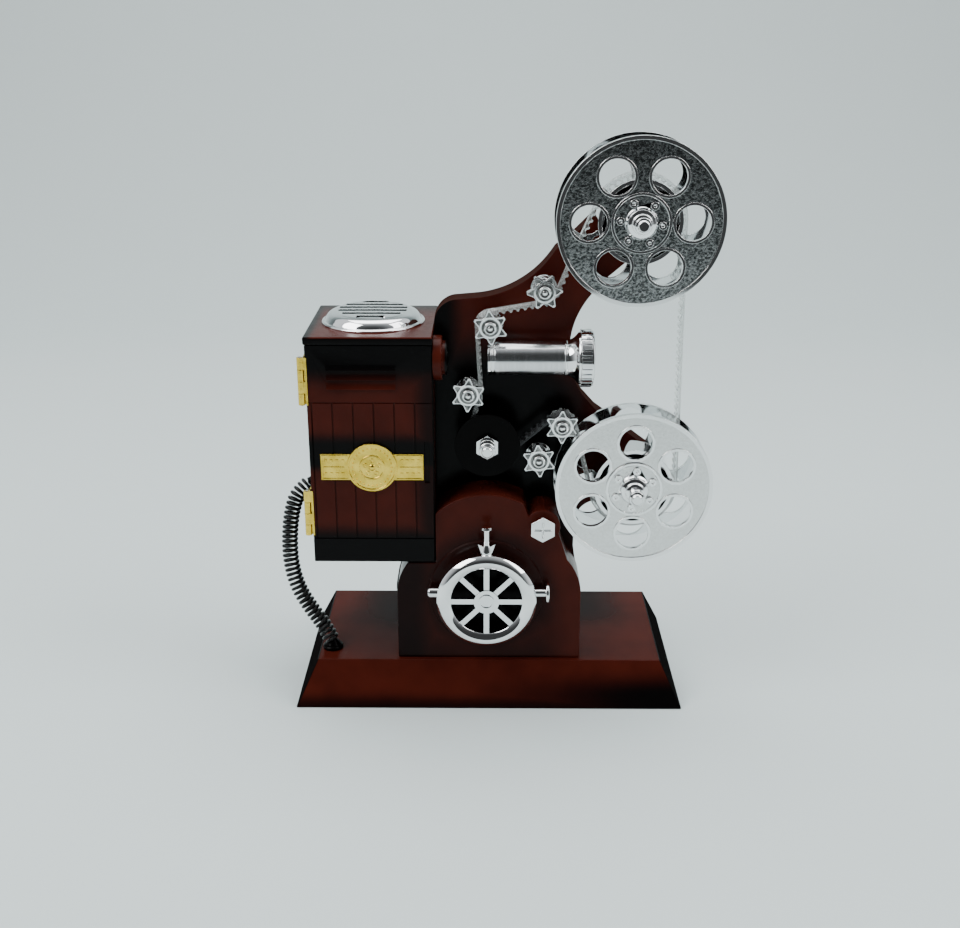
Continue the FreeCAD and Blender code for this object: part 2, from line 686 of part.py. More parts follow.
def make_posts():
    """The five sprocket posts pressed into the column, and the screws in their ends."""
    places = [(x, z) for x, z, _ in STAR_PLACES.values()]
    length = -STAR_FRONT - 12
    posts = doc.addObject("Part::Compound", "sprocket_posts")
    posts.Label = "sprocket_posts"
    posts.Links = fixed_cylinders("post", places, d.post_radius, length, -12, d.shank_radius)
    sub_parts.append(posts)
    heads = fixed_cylinders("star_screw", places, d.screw_radius, 1.2, STAR_FRONT)
    shanks = fixed_cylinders("star_shank", places, d.shank_radius, 6, STAR_FRONT + 6)
    whole = []
    for i, (head, shank) in enumerate(zip(heads, shanks)):
        fused = doc.addObject("Part::MultiFuse", f"sprocket_screw_{i}")
        fused.Shapes = [head, shank]
        whole.append(fused)
    screws = doc.addObject("Part::Compound", "sprocket_screws")
    screws.Label = "sprocket_screws"
    screws.Links = whole
    sub_parts.append(screws)


def make_drive():
    """The film drum with its shaft and knob, the pulley on the shaft and the round cover."""
    x, z = d.drum_x, d.drum_z
    drum_back = d.body_front - 6
    shaft = 6 + d.body_half_depth * 2 - d.body_wall - 0.2
    drum = lathe("drive_drum", [
        (0, shaft), (d.drum_shaft, shaft), (d.drum_shaft, 0), (d.drum_radius + 1.6, 0),
        (d.drum_radius + 1.6, -0.8), (d.drum_radius, -0.8), (d.drum_radius, -7), (0, -7)])
    put(drum, x, drum_back, z)

    knob = lathe("drive_knob", [(0, 0), (3.4, 0), (3.4, -8.2), (2.9, -8.6), (2.4, -8.6), (2.3, -10.2),
                                (1.8, -10.7), (0, -10.7)])
    flange = new_sketch(knob, "XZ_Plane", 2.4)
    add_polygon(flange, [around(5.1, 30 + 60 * k) for k in range(6)])
    pad(knob, flange, 2)
    put(knob, x, drum_back - 7, z)

    cover = new_body("drive_cover")
    plate = new_sketch(cover, "XZ_Plane", 13.4)
    ring_of(plate, 0, 0, (d.cover_radius, 3.7))
    pad(cover, plate, d.cover_plate)
    legs = new_sketch(cover, "XZ_Plane")
    for angle in (45, 190, 280):
        add_circle(legs, *around(12, angle), 1.2)
    pad(cover, legs, 14)
    put(cover, x, d.body_front, z)

    pulley = lathe("drive_pulley", [
        (d.drum_shaft, 0), (d.pulley_radius + 1, 0), (d.pulley_radius, -1.2),
        (d.pulley_radius, -2.4), (d.pulley_radius + 1, -3.6), (d.drum_shaft, -3.6)])
    put(pulley, x, PULLEY_Y, z)


PULLEY_Y = -7.8


def tangent_route(circles):
    """Tangent points of a closed belt round circles (x, z, radius, sense); sense 1 is anticlockwise."""
    runs = []
    for i, (x, z, radius, sense) in enumerate(circles):
        next_x, next_z, next_radius, next_sense = circles[(i + 1) % len(circles)]
        gap = math.hypot(next_x - x, next_z - z)
        heading = math.atan2(next_z - z, next_x - x)
        signed = sense * radius - next_sense * next_radius
        heading += math.asin(signed / gap)
        side = (math.sin(heading), -math.cos(heading))
        leave = (x + side[0] * radius * sense, z + side[1] * radius * sense)
        next_signed = next_radius * next_sense
        reach = (next_x + side[0] * next_signed, next_z + side[1] * next_signed)
        runs.append((leave, reach))
    return runs


def belt_wire(circles, shift):
    """The belt's outline, moved to the left of the way by a distance."""
    moved = [(x, z, radius - shift * sense, sense) for x, z, radius, sense in circles]
    runs = tangent_route(moved)
    edges = []
    for i, (leave, reach) in enumerate(runs):
        x, z, radius, sense = moved[(i + 1) % len(moved)]
        onward = runs[(i + 1) % len(runs)][0]
        start = math.atan2(reach[1] - z, reach[0] - x)
        end = math.atan2(onward[1] - z, onward[0] - x)
        sweep = (end - start) * sense % (2 * math.pi)
        half = start + sense * sweep / 2
        middle = (x + radius * math.cos(half), z + radius * math.sin(half))
        points = [Vector(px, 0, pz) for px, pz in (leave, reach, middle, onward)]
        edges.append(Part.LineSegment(points[0], points[1]).toShape())
        edges.append(Part.Arc(points[1], points[2], points[3]).toShape())
    return Part.Wire(edges)


def make_belt(label, circles, thickness, width, y):
    """A closed flat belt round its rollers, of one thickness all along."""
    body = new_body(label)
    loop = new_sketch(body, "XZ_Plane")
    for shift in (float(thickness) / 2, -float(thickness) / 2):
        add_wire(loop, belt_wire(circles, shift))
    pad(body, loop, width)
    put(body, 0, y, 0)


def make_belts():
    """The film loop outside and the round drive belt from the clockwork to the drum."""
    off = float(d.belt_gap + d.belt_thickness / 2)
    roller = float(d.roller_radius) + off
    core = float(d.core_radius) + off
    star = {k: (x, z) for k, (x, z, _) in STAR_PLACES.items()}
    film = [
        (float(d.upper_x), float(d.upper_z), core, 1), (*star[1], roller, -1), (*star[2], roller, 1),
        (*star[3], roller, -1), (float(d.drum_x), float(d.drum_z), float(d.drum_radius) + off, 1),
        (*star[4], roller, -1), (float(d.lower_x), float(d.lower_z), core, 1)]
    make_belt("film_belt", film, d.belt_thickness, d.belt_width, d.belt_width - d.belt_front)
    around_pulley = float(d.pulley_radius + d.drive_belt_size / 2) + 0.15
    drive = [(float(d.drum_x), float(d.drum_z), around_pulley, 1),
             (float(d.drum_x), float(d.cylinder_z), around_pulley, 1)]
    make_belt("drive_belt", drive, d.drive_belt_size, d.drive_belt_size, PULLEY_Y - 1.2)


def make_lens():
    """The lens barrel with its foot on the column, the glass and the focus ring that turns on it."""
    start = -0.7
    flange, barrel, flare = 2.8, 2.8 + float(d.lens_length) - 1.4, 37.5
    collar, groove, bead = d.lens_radius + 0.1, d.lens_radius - 0.3, d.lens_radius + 0.5
    neck = (d.lens_radius + 0.2, barrel + 1.1)
    rim = (d.flare_radius - 0.3, flare - 0.9)
    body = lathe("lens_barrel", [
        (d.lens_bore, 0), (collar, 0), (collar, 1.1), (groove, 1.2), (groove, 1.6),
        (collar, 1.7), (collar, flange - 0.3), (groove, flange - 0.2), (groove, flange + 0.1),
        (d.lens_radius, flange + 0.2), (d.lens_radius, barrel),
        (bead, barrel + 0.2), (bead, barrel + 0.9), neck] + bulge(neck, rim, 0.55, 8) + [
        rim, (d.flare_radius, flare), (d.spigot_radius, flare), (d.spigot_radius, flare + 4),
        (7.6, flare + 4), (7.6, flare), (d.lens_bore, flare - 4)])
    saddle = new_sketch(body, "YZ_Plane", d.lens_radius - 0.8)
    add_rectangle(saddle, 8, 24, -3.5, 3.5)
    pad(body, saddle, d.body_front - d.lens_y - d.lens_radius + 0.8)
    put(body, start, d.lens_y, d.lens_z, ALONG_X_FOOT_BACK)

    glass = lathe("lens_glass", [(0, 0), (7.5, 0), (7.5, 1.2)] +
                  bulge((7.5, 1.2), (0, 2.6), -0.9, 6) + [(0, 2.6)])
    put(glass, start + flare + 0.1, d.lens_y, d.lens_z, ALONG_X)

    inner = d.spigot_radius + d.running_fit
    ring = lathe("focus_ring", [
        (inner, 0.2), (d.ring_radius - 0.5, 0.2), (d.ring_radius - 0.5, d.ring_length),
        (d.ring_radius - 0.9, d.ring_length + 0.4), (inner + 0.5, d.ring_length + 0.4),
        (inner, d.ring_length)])
    rib = new_sketch(ring, "XZ_Plane", 0)
    add_rectangle(rib, d.ring_radius - 0.7, d.ring_radius, -0.75, 0.75)
    grip = pad(ring, rib, d.ring_length - 0.6, True)
    polar(ring, grip, 30)
    put(ring, start + flare, d.lens_y, d.lens_z, ALONG_X)

    snout = lathe("condenser_snout", [
        (d.lens_bore, 0), (d.snout_radius, 0), (d.snout_radius, 3.3), (d.snout_radius - 0.4, 3.7),
        (7, 3.7), (7, 5.4), (6.6, 5.8), (d.lens_bore, 5.8)])
    put(snout, d.lamp_left + d.lamp_width, d.lens_y, d.lens_z, ALONG_X)


SLOT_PITCH = 5.3
SLOT_WIDTH = 2.7
HINGE_HEIGHTS = (87.5, 145)
HINGE_X = -76.1
HINGE_Y = -31.2


def make_lamp_house():
    """The lamp house: open-fronted box, lid, vent cap and the catch for the door."""
    left, right = d.lamp_left, d.lamp_left + d.lamp_width
    front, back = d.lamp_front + d.door_thickness + d.door_gap, d.lamp_front + d.lamp_depth
    box = new_body("lamp_house_body")
    outside = new_sketch(box, "XY_Plane")
    add_rectangle(outside, left, right, front, back)
    pad(box, outside, d.lamp_height)
    wall = d.lamp_wall
    inside = new_sketch(box, "XY_Plane", wall)
    add_rectangle(inside, left + wall, right - wall, front - 1, back - wall)
    pocket(box, inside, d.lamp_height, True)
    gland_hole = new_sketch(box, "YZ_Plane", left - 1)
    add_circle(gland_hole, CORD_ROUTE[0][1], CORD_ROUTE[0][2] - float(d.lamp_bottom), d.gland_radius)
    pocket(box, gland_hole, wall + 2, True)
    put(box, 0, 0, d.lamp_bottom)

    lid = new_body("lamp_house_lid")
    slab = new_sketch(lid, "XY_Plane")
    over = d.lid_overhang
    add_rectangle(slab, left - over, right, d.lamp_front - over, back + over)
    pad(lid, slab, d.lid_thickness)
    lip = new_sketch(lid, "XY_Plane")
    add_rectangle(lip, left + wall, right - wall, front + 0.5, back - wall)
    add_rectangle(lip, left + wall + 1.5, right - wall - 1.5, front + 2, back - wall - 1.5)
    pad(lid, lip, 1.5, True)
    put(lid, 0, 0, d.lamp_bottom + d.lamp_height)

    radius, grille, height = d.vent_radius, d.grille_radius, d.vent_height
    foot, brow = (radius - 1.3, 1.1), (grille + 1.4, height - 0.5)
    vent = lathe("vent_cap", [(0, 0), (radius, 0), (radius, 0.5), (radius - 0.3, 0.9),
                              (radius - 0.8, 1.1), foot] +
                 bulge(foot, brow, -0.9, 7) + [brow, (grille + 0.7, height - 0.1), (0, height)])
    slots = new_sketch(vent, "XZ_Plane", -height)
    for k in range(6):
        offset = (k - 2.5) * SLOT_PITCH
        reach = math.sqrt(float(grille) ** 2 - offset ** 2)
        add_rectangle(slots, -reach, reach, offset - SLOT_WIDTH / 2, offset + SLOT_WIDTH / 2)
    pocket(vent, slots, height - 2, True)
    put(vent, -48.7, -4, d.lamp_bottom + d.lamp_height + d.lid_thickness, ALONG_Z)

    catch = new_body("door_catch")
    block = new_sketch(catch, "XY_Plane")
    add_polygon(block, [(0, 0), (-3, 0.6), (-3, 4), (0, 6)])
    pad(catch, block, 8)
    put(catch, right - wall, front + 0.2, 108)


def make_door():
    """The lamp-house door with louvres, board grooves and finger recess, and its nameplate."""
    width = d.lamp_width - d.door_gap - 0.1
    height = d.lamp_height - d.door_gap
    door = new_body("door_panel")
    face = new_sketch(door, "XZ_Plane")
    add_rectangle(face, 0.2, width, 0, height)
    pad(door, face, d.door_thickness - 0.5)
    boards = new_sketch(door, "XZ_Plane", d.door_thickness - 0.5)
    edges = [0.2, 2.3, 10.7, 19.1, 27.5, 35.9, 44.3]
    for i, start in enumerate(edges):
        stop = edges[i + 1] - 0.6 if i + 1 < len(edges) else width
        add_rectangle(boards, start, stop, 11, 70.5)
    add_rectangle(boards, 0.2, width, 0, 10.6)
    add_rectangle(boards, 0.2, width, 70.9, height)
    pad(door, boards, 0.5)
    louvres = new_sketch(door, "YZ_Plane", 8.5)
    for k in range(3):
        low = 76.5 + 4 * k
        depth = -d.door_thickness
        add_polygon(louvres, [(depth + 0.05, low + 2.6), (depth - 1, low + 0.3), (depth - 1, low),
                              (depth + 0.05, low)])
    pad(door, louvres, 28)
    recess = new_sketch(door, "XZ_Plane", d.door_thickness)
    add_rectangle(recess, width - 3.4, width - 1.4, 36, 54)
    pocket(door, recess, 1.1, False)
    put(door, d.lamp_left, d.lamp_front + d.door_thickness, d.lamp_bottom)

    plate = new_body("nameplate")
    bar = new_sketch(plate, "XZ_Plane")
    add_rectangle(bar, -21.2, 21.2, -5.7, 5.7)
    pad(plate, bar, 0.8)
    disc = new_sketch(plate, "XZ_Plane")
    add_circle(disc, 0, 0, 10.4)
    pad(plate, disc, 1)
    rim = new_sketch(plate, "XZ_Plane", 0.9)
    ring_of(rim, 0, 0, (10.4, 9.5))
    pad(plate, rim, 0.7)
    put(plate, -48.4, d.lamp_front, 108.4)


def cylinder_up(name, radius, length, x, y, z):
    """A bound upright cylinder."""
    made = doc.addObject("Part::Cylinder", name)
    made.setExpression("Radius", as_size(radius).text)
    made.setExpression("Height", as_size(length).text)
    made.Placement.Base = Vector(x, y, z)
    return made


def leaf_box(name, x_from, x_to, y_from, y_to, z, length):
    """A thin upright plate."""
    made = doc.addObject("Part::Box", name)
    made.Length, made.Width, made.Height = x_to - x_from, y_to - y_from, float(length)
    made.Placement.Base = Vector(x_from, y_from, z)
    return made


def hinge_half(label, slots, x_from, x_to, y_from, y_to, bore):
    """One half of both hinges: a leaf and two of the four knuckles, bored for the pin."""
    hinges = []
    step = float(d.knuckle_length)
    for n, middle in enumerate(HINGE_HEIGHTS):
        low = middle - 2 * step
        solids = []
        for k in slots:
            z = low + k * step + 0.1
            solids.append(cylinder_up(f"{label}_knuckle_{n}_{k}", d.knuckle_radius,
                                      d.knuckle_length - 0.2, HINGE_X, HINGE_Y, z))
            solids.append(leaf_box(f"{label}_leaf_{n}_{k}", x_from, x_to, y_from, y_to, z, step - 0.2))
        spine_x, spine_y = (x_from, x_to), (y_from, y_to)
        if label == "hinge_door_leaves":
            spine_x = (HINGE_X + 1.9, x_to)
        else:
            spine_y = (HINGE_Y + 2.1, y_to)
        solids.append(leaf_box(f"{label}_spine_{n}", *spine_x, *spine_y, low, 4 * step))
        fused = doc.addObject("Part::MultiFuse", f"{label}_solid_{n}")
        fused.Shapes = solids
        drill = cylinder_up(f"{label}_drill_{n}", bore, d.knuckle_length * 4 + 2, HINGE_X, HINGE_Y,
                            low - 1)
        cut = doc.addObject("Part::Cut", f"{label}_bored_{n}")
        cut.Base, cut.Tool = fused, drill
        hinges.append(cut)
    whole = doc.addObject("Part::Compound", label)
    whole.Label = label
    whole.Links = hinges
    sub_parts.append(whole)


def make_hinges():
    """Two brass butt hinges: frame halves on the side wall, door halves on the door, pins."""
    left = float(d.lamp_left)
    front = float(d.lamp_front)
    leaf = float(d.leaf_thickness)
    hinge_half("hinge_frame_leaves", (0, 2), left - leaf - 0.1, left, HINGE_Y + 0.2, -20.5,
               d.pin_radius)
    hinge_half("hinge_door_leaves", (1, 3), HINGE_X, left + 0.9, front - leaf, front,
               d.pin_radius + 0.08)
    pins = doc.addObject("Part::Compound", "hinge_pins")
    pins.Label = "hinge_pins"
    pins.Links = [cylinder_up(f"hinge_pin_{n}", d.pin_radius, d.knuckle_length * 4 + 0.6, HINGE_X,
                              HINGE_Y, middle - 2 * float(d.knuckle_length) - 0.3)
                  for n, middle in enumerate(HINGE_HEIGHTS)]
    sub_parts.append(pins)


def make_hex_knob():
    """The hexagonal start and stop knob on the gear case, with its stem and the plate on the stem."""
    knob = lathe("hex_knob", [(0, 16.5), (3.6, 16.5), (3.6, 15), (2, 15), (2, -1), (0, -1)])
    head = new_sketch(knob, "XZ_Plane", 0.3)
    add_polygon(head, [around(5.7, 90 + 60 * k) for k in range(6)])
    pad(knob, head, 3.4)
    cross = new_sketch(knob, "XZ_Plane", 3.7)
    add_polygon(cross, [(-3.4, -0.35), (-0.35, -0.35), (-0.35, -3.4), (0.35, -3.4), (0.35, -0.35),
                        (3.4, -0.35), (3.4, 0.35), (0.35, 0.35), (0.35, 3.4), (-0.35, 3.4),
                        (-0.35, 0.35), (-3.4, 0.35)])
    pocket(knob, cross, 0.5, False)
    put(knob, KNOB_PLACE[0], d.body_front - d.case_depth, KNOB_PLACE[1])


CHEEK_FRONT = -5.5
CHEEK_BACK = 8
CHEEK_THICKNESS = 1.5
BED_THICKNESS = 2


def make_clockwork():
    """The musical clockwork in the housing: frame, pin cylinder, comb, governor, barrel and key."""
    floor = d.base_height + d.body_wall
    arbor_height = d.cylinder_z - floor
    frame = new_body("movement_frame")
    bed = new_sketch(frame, "XY_Plane")
    add_rectangle(bed, -32, 30, CHEEK_FRONT - CHEEK_THICKNESS, CHEEK_BACK + CHEEK_THICKNESS)
    pad(frame, bed, BED_THICKNESS)
    for y in (CHEEK_FRONT, CHEEK_BACK):
        cheek = new_sketch(frame, "XZ_Plane", -y)
        add_polygon(cheek, [(-32, 1), (12, 1), (12, 33), (6, 36), (-28, 36), (-32, 33)])
        add_circle(cheek, d.drum_x, arbor_height, 1.6)
        add_circle(cheek, d.barrel_x, arbor_height, 2.1)
        pad(frame, cheek, CHEEK_THICKNESS, y > 0)
    put(frame, 0, 0, floor)

    cylinder = lathe("music_cylinder", [
        (0, 11), (1.5, 11), (1.5, 7.6), (d.cylinder_radius, 7.6), (d.cylinder_radius, -5.1),
        (1.5, -5.1), (1.5, -7.8), (d.pulley_radius + 1, -7.8), (d.pulley_radius, -9),
        (d.pulley_radius, -10.2), (d.pulley_radius + 1, -11.4), (0, -11.4)])
    put(cylinder, d.drum_x, 0, d.cylinder_z)

    comb = new_body("music_comb")
    blade = new_sketch(comb, "XY_Plane")
    pitch = 0.66
    tooth = 0.46
    tip = float(d.drum_x + d.cylinder_radius) + 0.5
    outline = [(22, 7.2), (22, -4.7)]
    for k in range(18):
        low = -4.7 + k * pitch
        outline += [(tip, low), (tip, low + tooth), (15, low + tooth), (15, low + pitch)]
    outline[-1] = (15, 7.2)
    add_polygon(blade, outline)
    pad(comb, blade, 1)
    anvil = new_sketch(comb, "XY_Plane")
    add_rectangle(anvil, 16.5, 22, -4.7, 7.2)
    pad(comb, anvil, arbor_height - 0.5 - BED_THICKNESS, True)
    put(comb, 0, 0, d.cylinder_z - 0.5)

    governor = new_body("governor")
    block = new_sketch(governor, "XY_Plane")
    add_rectangle(block, -8, 11, -5.2, 6.4)
    pad(governor, block, 14)
    put(governor, 0, 0, floor + BED_THICKNESS)

    barrel = lathe("spring_barrel", [
        (2.2, 7.8), (d.barrel_radius, 7.8), (d.barrel_radius, -5.3), (2.2, -5.3)])
    put(barrel, d.barrel_x, 0, d.cylinder_z)

    key = lathe("winding_key", [(0, 25), (2.6, 25), (2.6, 16), (2, 15.5), (2, -7.4), (0, -7.4)])
    wings = new_sketch(key, "XZ_Plane", -29)
    add_wire(wings, flat_wire([(-4, -1.5), (4, -1.5), ((13, -6), (13, 0)), ((13, 6), (4, 1.5)),
                               (-4, 1.5), ((-13, 6), (-13, 0)), ((-13, -6), (-4, -1.5))]))
    pad(key, wings, 8)
    put(key, d.barrel_x, 0, d.cylinder_z)


def cord_path(points):
    """Straight runs joined by tangent arcs, each as large as its two runs allow."""
    corners = [Vector(*point) for point in points]
    edges = []
    last = corners[0]
    for before, corner, after in zip(corners, corners[1:], corners[2:]):
        way_in = (corner - before).normalize()
        way_out = (after - corner).normalize()
        half_turn = way_in.getAngle(way_out) / 2
        reach = 0.45 * min((corner - before).Length, (after - corner).Length)
        radius = reach / math.tan(half_turn)
        print(f"cord bend at {tuple(round(v, 1) for v in corner)}: radius {radius:.1f}")
        start, end = corner - way_in * reach, corner + way_out * reach
        inward = (way_out - way_in).normalize()
        middle = corner + inward * (radius / math.cos(half_turn) - radius)
        edges.append(Part.LineSegment(last, start).toShape())
        edges.append(Part.Arc(start, middle, end).toShape())
        last = end
    edges.append(Part.LineSegment(last, corners[-1]).toShape())
    return Part.Wire(edges)


def make_cord():
    """The curly cord as one tube of its outer diameter, and the glands at its two ends."""
    path = cord_path(CORD_ROUTE)
    radius = float(d.cord_diameter) / 2
    first = path.Edges[0]
    direction = first.tangentAt(first.FirstParameter)
    circle = Part.Wire(Part.Circle(Vector(*CORD_ROUTE[0]), direction, radius).toShape())
    tube = path.makePipeShell([circle], True, True)
    expected = math.pi * radius ** 2 * path.Length
    print(f"cord length {path.Length:.1f}, volume {tube.Volume:.0f}, section x length {expected:.0f}")
    cord = doc.addObject("Part::Feature", "curly_cord")
    cord.Label = "curly_cord"
    cord.Shape = tube
    sub_parts.append(cord)
    spigot, flange = d.gland_radius, d.gland_flange
    for label, wall, end, rotation in (("cord_gland_upper", d.lamp_wall, 0, ALONG_MINUS_X),
                                       ("cord_gland_lower", d.base_wall, -1, ALONG_Z)):
        gland = lathe(label, [(0, -(wall + 1)), (spigot, -(wall + 1)), (spigot, 0), (flange, 0),
                              (flange, 1.2), (flange - 0.6, 1.8), (0, 1.8)])
        x, y, z = CORD_ROUTE[end]
        if end == 0:
            put(gland, d.lamp_left, y, z, rotation)
        else:
            put(gland, x, y, d.base_height, rotation)


make_plinth()
make_column()
make_gear_case()
make_motor()
make_reel("upper", 0, 9)
make_reel("lower", 30, 13)
for star in STAR_PLACES:
    make_sprocket(star)
make_posts()
make_drive()
make_belts()
make_lens()
make_lamp_house()
make_door()
make_hinges()
make_hex_knob()
make_clockwork()
make_cord()
doc.recompute()

failed = [o.Name for o in doc.Objects if "Invalid" in o.State or "Error" in o.State]
if failed:
    raise RuntimeError(f"objects that failed: {failed}")
for piece in sub_parts:
    if piece.Shape.isNull() or not piece.Shape.isValid():
        raise RuntimeError(f"the shape of {piece.Label} is null or not valid")
for piece in sub_parts:
    piece.Shape.exportStep(f"parts/{piece.Label}.step")
print(f"{len(sub_parts)} sub-parts written")
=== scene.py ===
import json
import math

import bmesh
import bpy
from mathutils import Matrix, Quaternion, Vector


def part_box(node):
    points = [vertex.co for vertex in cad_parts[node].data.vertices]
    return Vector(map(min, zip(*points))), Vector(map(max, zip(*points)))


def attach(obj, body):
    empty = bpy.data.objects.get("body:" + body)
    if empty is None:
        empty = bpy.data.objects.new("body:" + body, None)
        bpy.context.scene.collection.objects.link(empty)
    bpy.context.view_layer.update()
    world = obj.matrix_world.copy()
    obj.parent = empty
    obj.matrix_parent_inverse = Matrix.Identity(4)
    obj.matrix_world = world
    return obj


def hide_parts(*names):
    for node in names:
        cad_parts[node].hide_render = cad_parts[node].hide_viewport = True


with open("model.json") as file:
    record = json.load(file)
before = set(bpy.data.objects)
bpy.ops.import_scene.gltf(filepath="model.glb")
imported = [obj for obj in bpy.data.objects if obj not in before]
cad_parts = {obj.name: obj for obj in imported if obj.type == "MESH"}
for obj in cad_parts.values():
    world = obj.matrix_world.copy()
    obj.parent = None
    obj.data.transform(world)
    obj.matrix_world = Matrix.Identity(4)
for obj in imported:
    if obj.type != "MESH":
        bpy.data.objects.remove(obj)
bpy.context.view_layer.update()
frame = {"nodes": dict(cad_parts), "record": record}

MM = 0.001
FRONT = Vector((0, -1, 0))


# ---------------------------------------------------------------- camera

CAMERA_PLACE = (0, -0.4973, 0.2848)
CAMERA_DOWN = math.radians(20.6)
CAMERA_TURN = math.radians(0.475)
FOCAL_LENGTH = 45.2
SENSOR_WIDTH = 36


def make_camera():
    """The camera, a little above the object and looking down at it."""
    lens = bpy.data.cameras.new("camera")
    lens.sensor_width = SENSOR_WIDTH
    lens.lens = FOCAL_LENGTH
    camera = bpy.data.objects.new("camera", lens)
    camera.location = CAMERA_PLACE
    camera.rotation_euler = (math.pi / 2 - CAMERA_DOWN, 0, CAMERA_TURN)
    bpy.context.scene.collection.objects.link(camera)
    bpy.context.scene.camera = camera


make_camera()


# ---------------------------------------------------------------- small tools

def centre(node):
    """The middle of a CAD node's box."""
    low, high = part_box(node)
    return (low + high) / 2


def new_object(name, mesh, body, material):
    """A piece that rides on a body, with the material in its mesh's one slot."""
    piece = bpy.data.objects.new(name, mesh)
    bpy.context.scene.collection.objects.link(piece)
    mesh.materials.append(material)
    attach(piece, body)
    return piece


def mesh_from(name, points, faces, smooth=True):
    """A mesh from points and faces, with its normals turned outward."""
    mesh = bpy.data.meshes.new(name)
    shape = bmesh.new()
    corners = [shape.verts.new(point) for point in points]
    for face in faces:
        shape.faces.new([corners[i] for i in face])
    bmesh.ops.recalc_face_normals(shape, faces=shape.faces)
    for face in shape.faces:
        face.smooth = smooth
    shape.to_mesh(mesh)
    shape.free()
    return mesh


def turned_mesh(name, profile, place, axis, segments=48):
    """A closed solid turned from (radius, distance) points about an axis through a place."""
    axis = Vector(axis).normalized()
    turn = Vector((0, 0, 1)).rotation_difference(axis)
    points, faces = [], []
    for radius, distance in profile:
        for k in range(segments):
            angle = 2 * math.pi * k / segments
            spot = Vector((radius * math.cos(angle), radius * math.sin(angle), distance))
            points.append(Vector(place) + turn @ spot)
    for row in range(len(profile) - 1):
        for k in range(segments):
            after = (k + 1) % segments
            faces.append((row * segments + k, row * segments + after,
                          (row + 1) * segments + after, (row + 1) * segments + k))
    faces.append(tuple(range(segments)))
    faces.append(tuple((len(profile) - 1) * segments + k for k in range(segments)))
    return mesh_from(name, points, faces)


def soften(piece, width, segments=2):
    """Round the edges of a piece and keep its flat faces flat."""
    weld = piece.modifiers.new("weld", "WELD")
    weld.merge_threshold = 1e-6
    flats = piece.modifiers.new("flats", "DECIMATE")
    flats.decimate_type = "DISSOLVE"
    flats.angle_limit = math.radians(0.3)
    bevel = piece.modifiers.new("bevel", "BEVEL")
    bevel.width = width
    bevel.segments = segments
    bevel.limit_method = "ANGLE"
    bevel.angle_limit = math.radians(32)
    normals = piece.modifiers.new("normals", "WEIGHTED_NORMAL")
    normals.weight = 80


# ---------------------------------------------------------------- material tools

class Finish:
    """A procedural material under construction."""

    def __init__(self, name):
        self.material = bpy.data.materials.new(name)
        self.material.use_nodes = True
        self.nodes = self.material.node_tree.nodes
        self.links = self.material.node_tree.links
        self.shader = self.nodes["Principled BSDF"]
        self.place = self.nodes.new("ShaderNodeTexCoord").outputs["Object"]
        parts = self.nodes.new("ShaderNodeSeparateXYZ")
        self.links.new(self.place, parts.inputs[0])
        self.axes = {"x": parts.outputs[0], "y": parts.outputs[1], "z": parts.outputs[2]}

    def set(self, **values):
        """Constants on the shader's own sockets, by name with _ for a space."""
        for name, value in values.items():
            self.shader.inputs[name.replace("_", " ")].default_value = value
        return self

    def math(self, operation, first, second=0.5):
        """One maths node; each input is a socket or a number."""
        node = self.nodes.new("ShaderNodeMath")
        node.operation = operation
        for socket, value in zip(node.inputs, (first, second)):
            if isinstance(value, (int, float)):
                socket.default_value = value
            else:
                self.links.new(value, socket)
        return node.outputs[0]

    def ramp(self, value, start, stop, low=0.0, high=1.0):
        """A smooth step from low to high as the value goes from start to stop."""
        node = self.nodes.new("ShaderNodeMapRange")
        node.interpolation_type = "SMOOTHSTEP"
        self.links.new(value, node.inputs["Value"])
        node.inputs["From Min"].default_value = start
        node.inputs["From Max"].default_value = stop
        node.inputs["To Min"].default_value = low
        node.inputs["To Max"].default_value = high
        return node.outputs["Result"]

    def noise(self, scale, detail=3.0, stretch=(1, 1, 1)):
        """Noise in the object's own coordinates; scale is in cells per metre."""
        mapping = self.nodes.new("ShaderNodeMapping")
        mapping.inputs["Scale"].default_value = stretch
        self.links.new(self.place, mapping.inputs["Vector"])
        node = self.nodes.new("ShaderNodeTexNoise")
        node.inputs["Scale"].default_value = scale
        node.inputs["Detail"].default_value = detail
        self.links.new(mapping.outputs[0], node.inputs["Vector"])
        return node.outputs["Fac"]

    def mix(self, factor, first, second):
        """A colour between two; each is a colour or a socket."""
        node = self.nodes.new("ShaderNodeMix")
        node.data_type = "RGBA"
        self.links.new(factor, node.inputs["Factor"])
        for socket, value in ((node.inputs[6], first), (node.inputs[7], second)):
            if isinstance(value, tuple):
                socket.default_value = (*value, 1)
            else:
                self.links.new(value, socket)
        return node.outputs[2]

    def colour(self, socket):
        self.links.new(socket, self.shader.inputs["Base Color"])
        return self

    def roughness(self, socket):
        self.links.new(socket, self.shader.inputs["Roughness"])
        return self

    def bump(self, height, strength, distance):
        """Relief from a height socket; distance is in metres."""
        node = self.nodes.new("ShaderNodeBump")
        node.inputs["Strength"].default_value = strength
        node.inputs["Distance"].default_value = distance
        self.links.new(height, node.inputs["Height"])
        self.links.new(node.outputs[0], self.shader.inputs["Normal"])
        return self

    def radius(self, middle_x, middle_z):
        """The distance from an axis that runs front to back."""
        across = self.math("SUBTRACT", self.axes["x"], middle_x)
        up = self.math("SUBTRACT", self.axes["z"], middle_z)
        across_square = self.math("MULTIPLY", across, across)
        up_square = self.math("MULTIPLY", up, up)
        return self.math("SQRT", self.math("ADD", across_square, up_square))


MAHOGANY = (0.062, 0.0098, 0.0056)
MAHOGANY_DEEP = (0.044, 0.0070, 0.0042)
# The black that the masks below paint in as shade.
PAINTED_SHADE_BLACK = (0.0022, 0.0019, 0.0020)
POLISHED = (0.90, 0.91, 0.91)


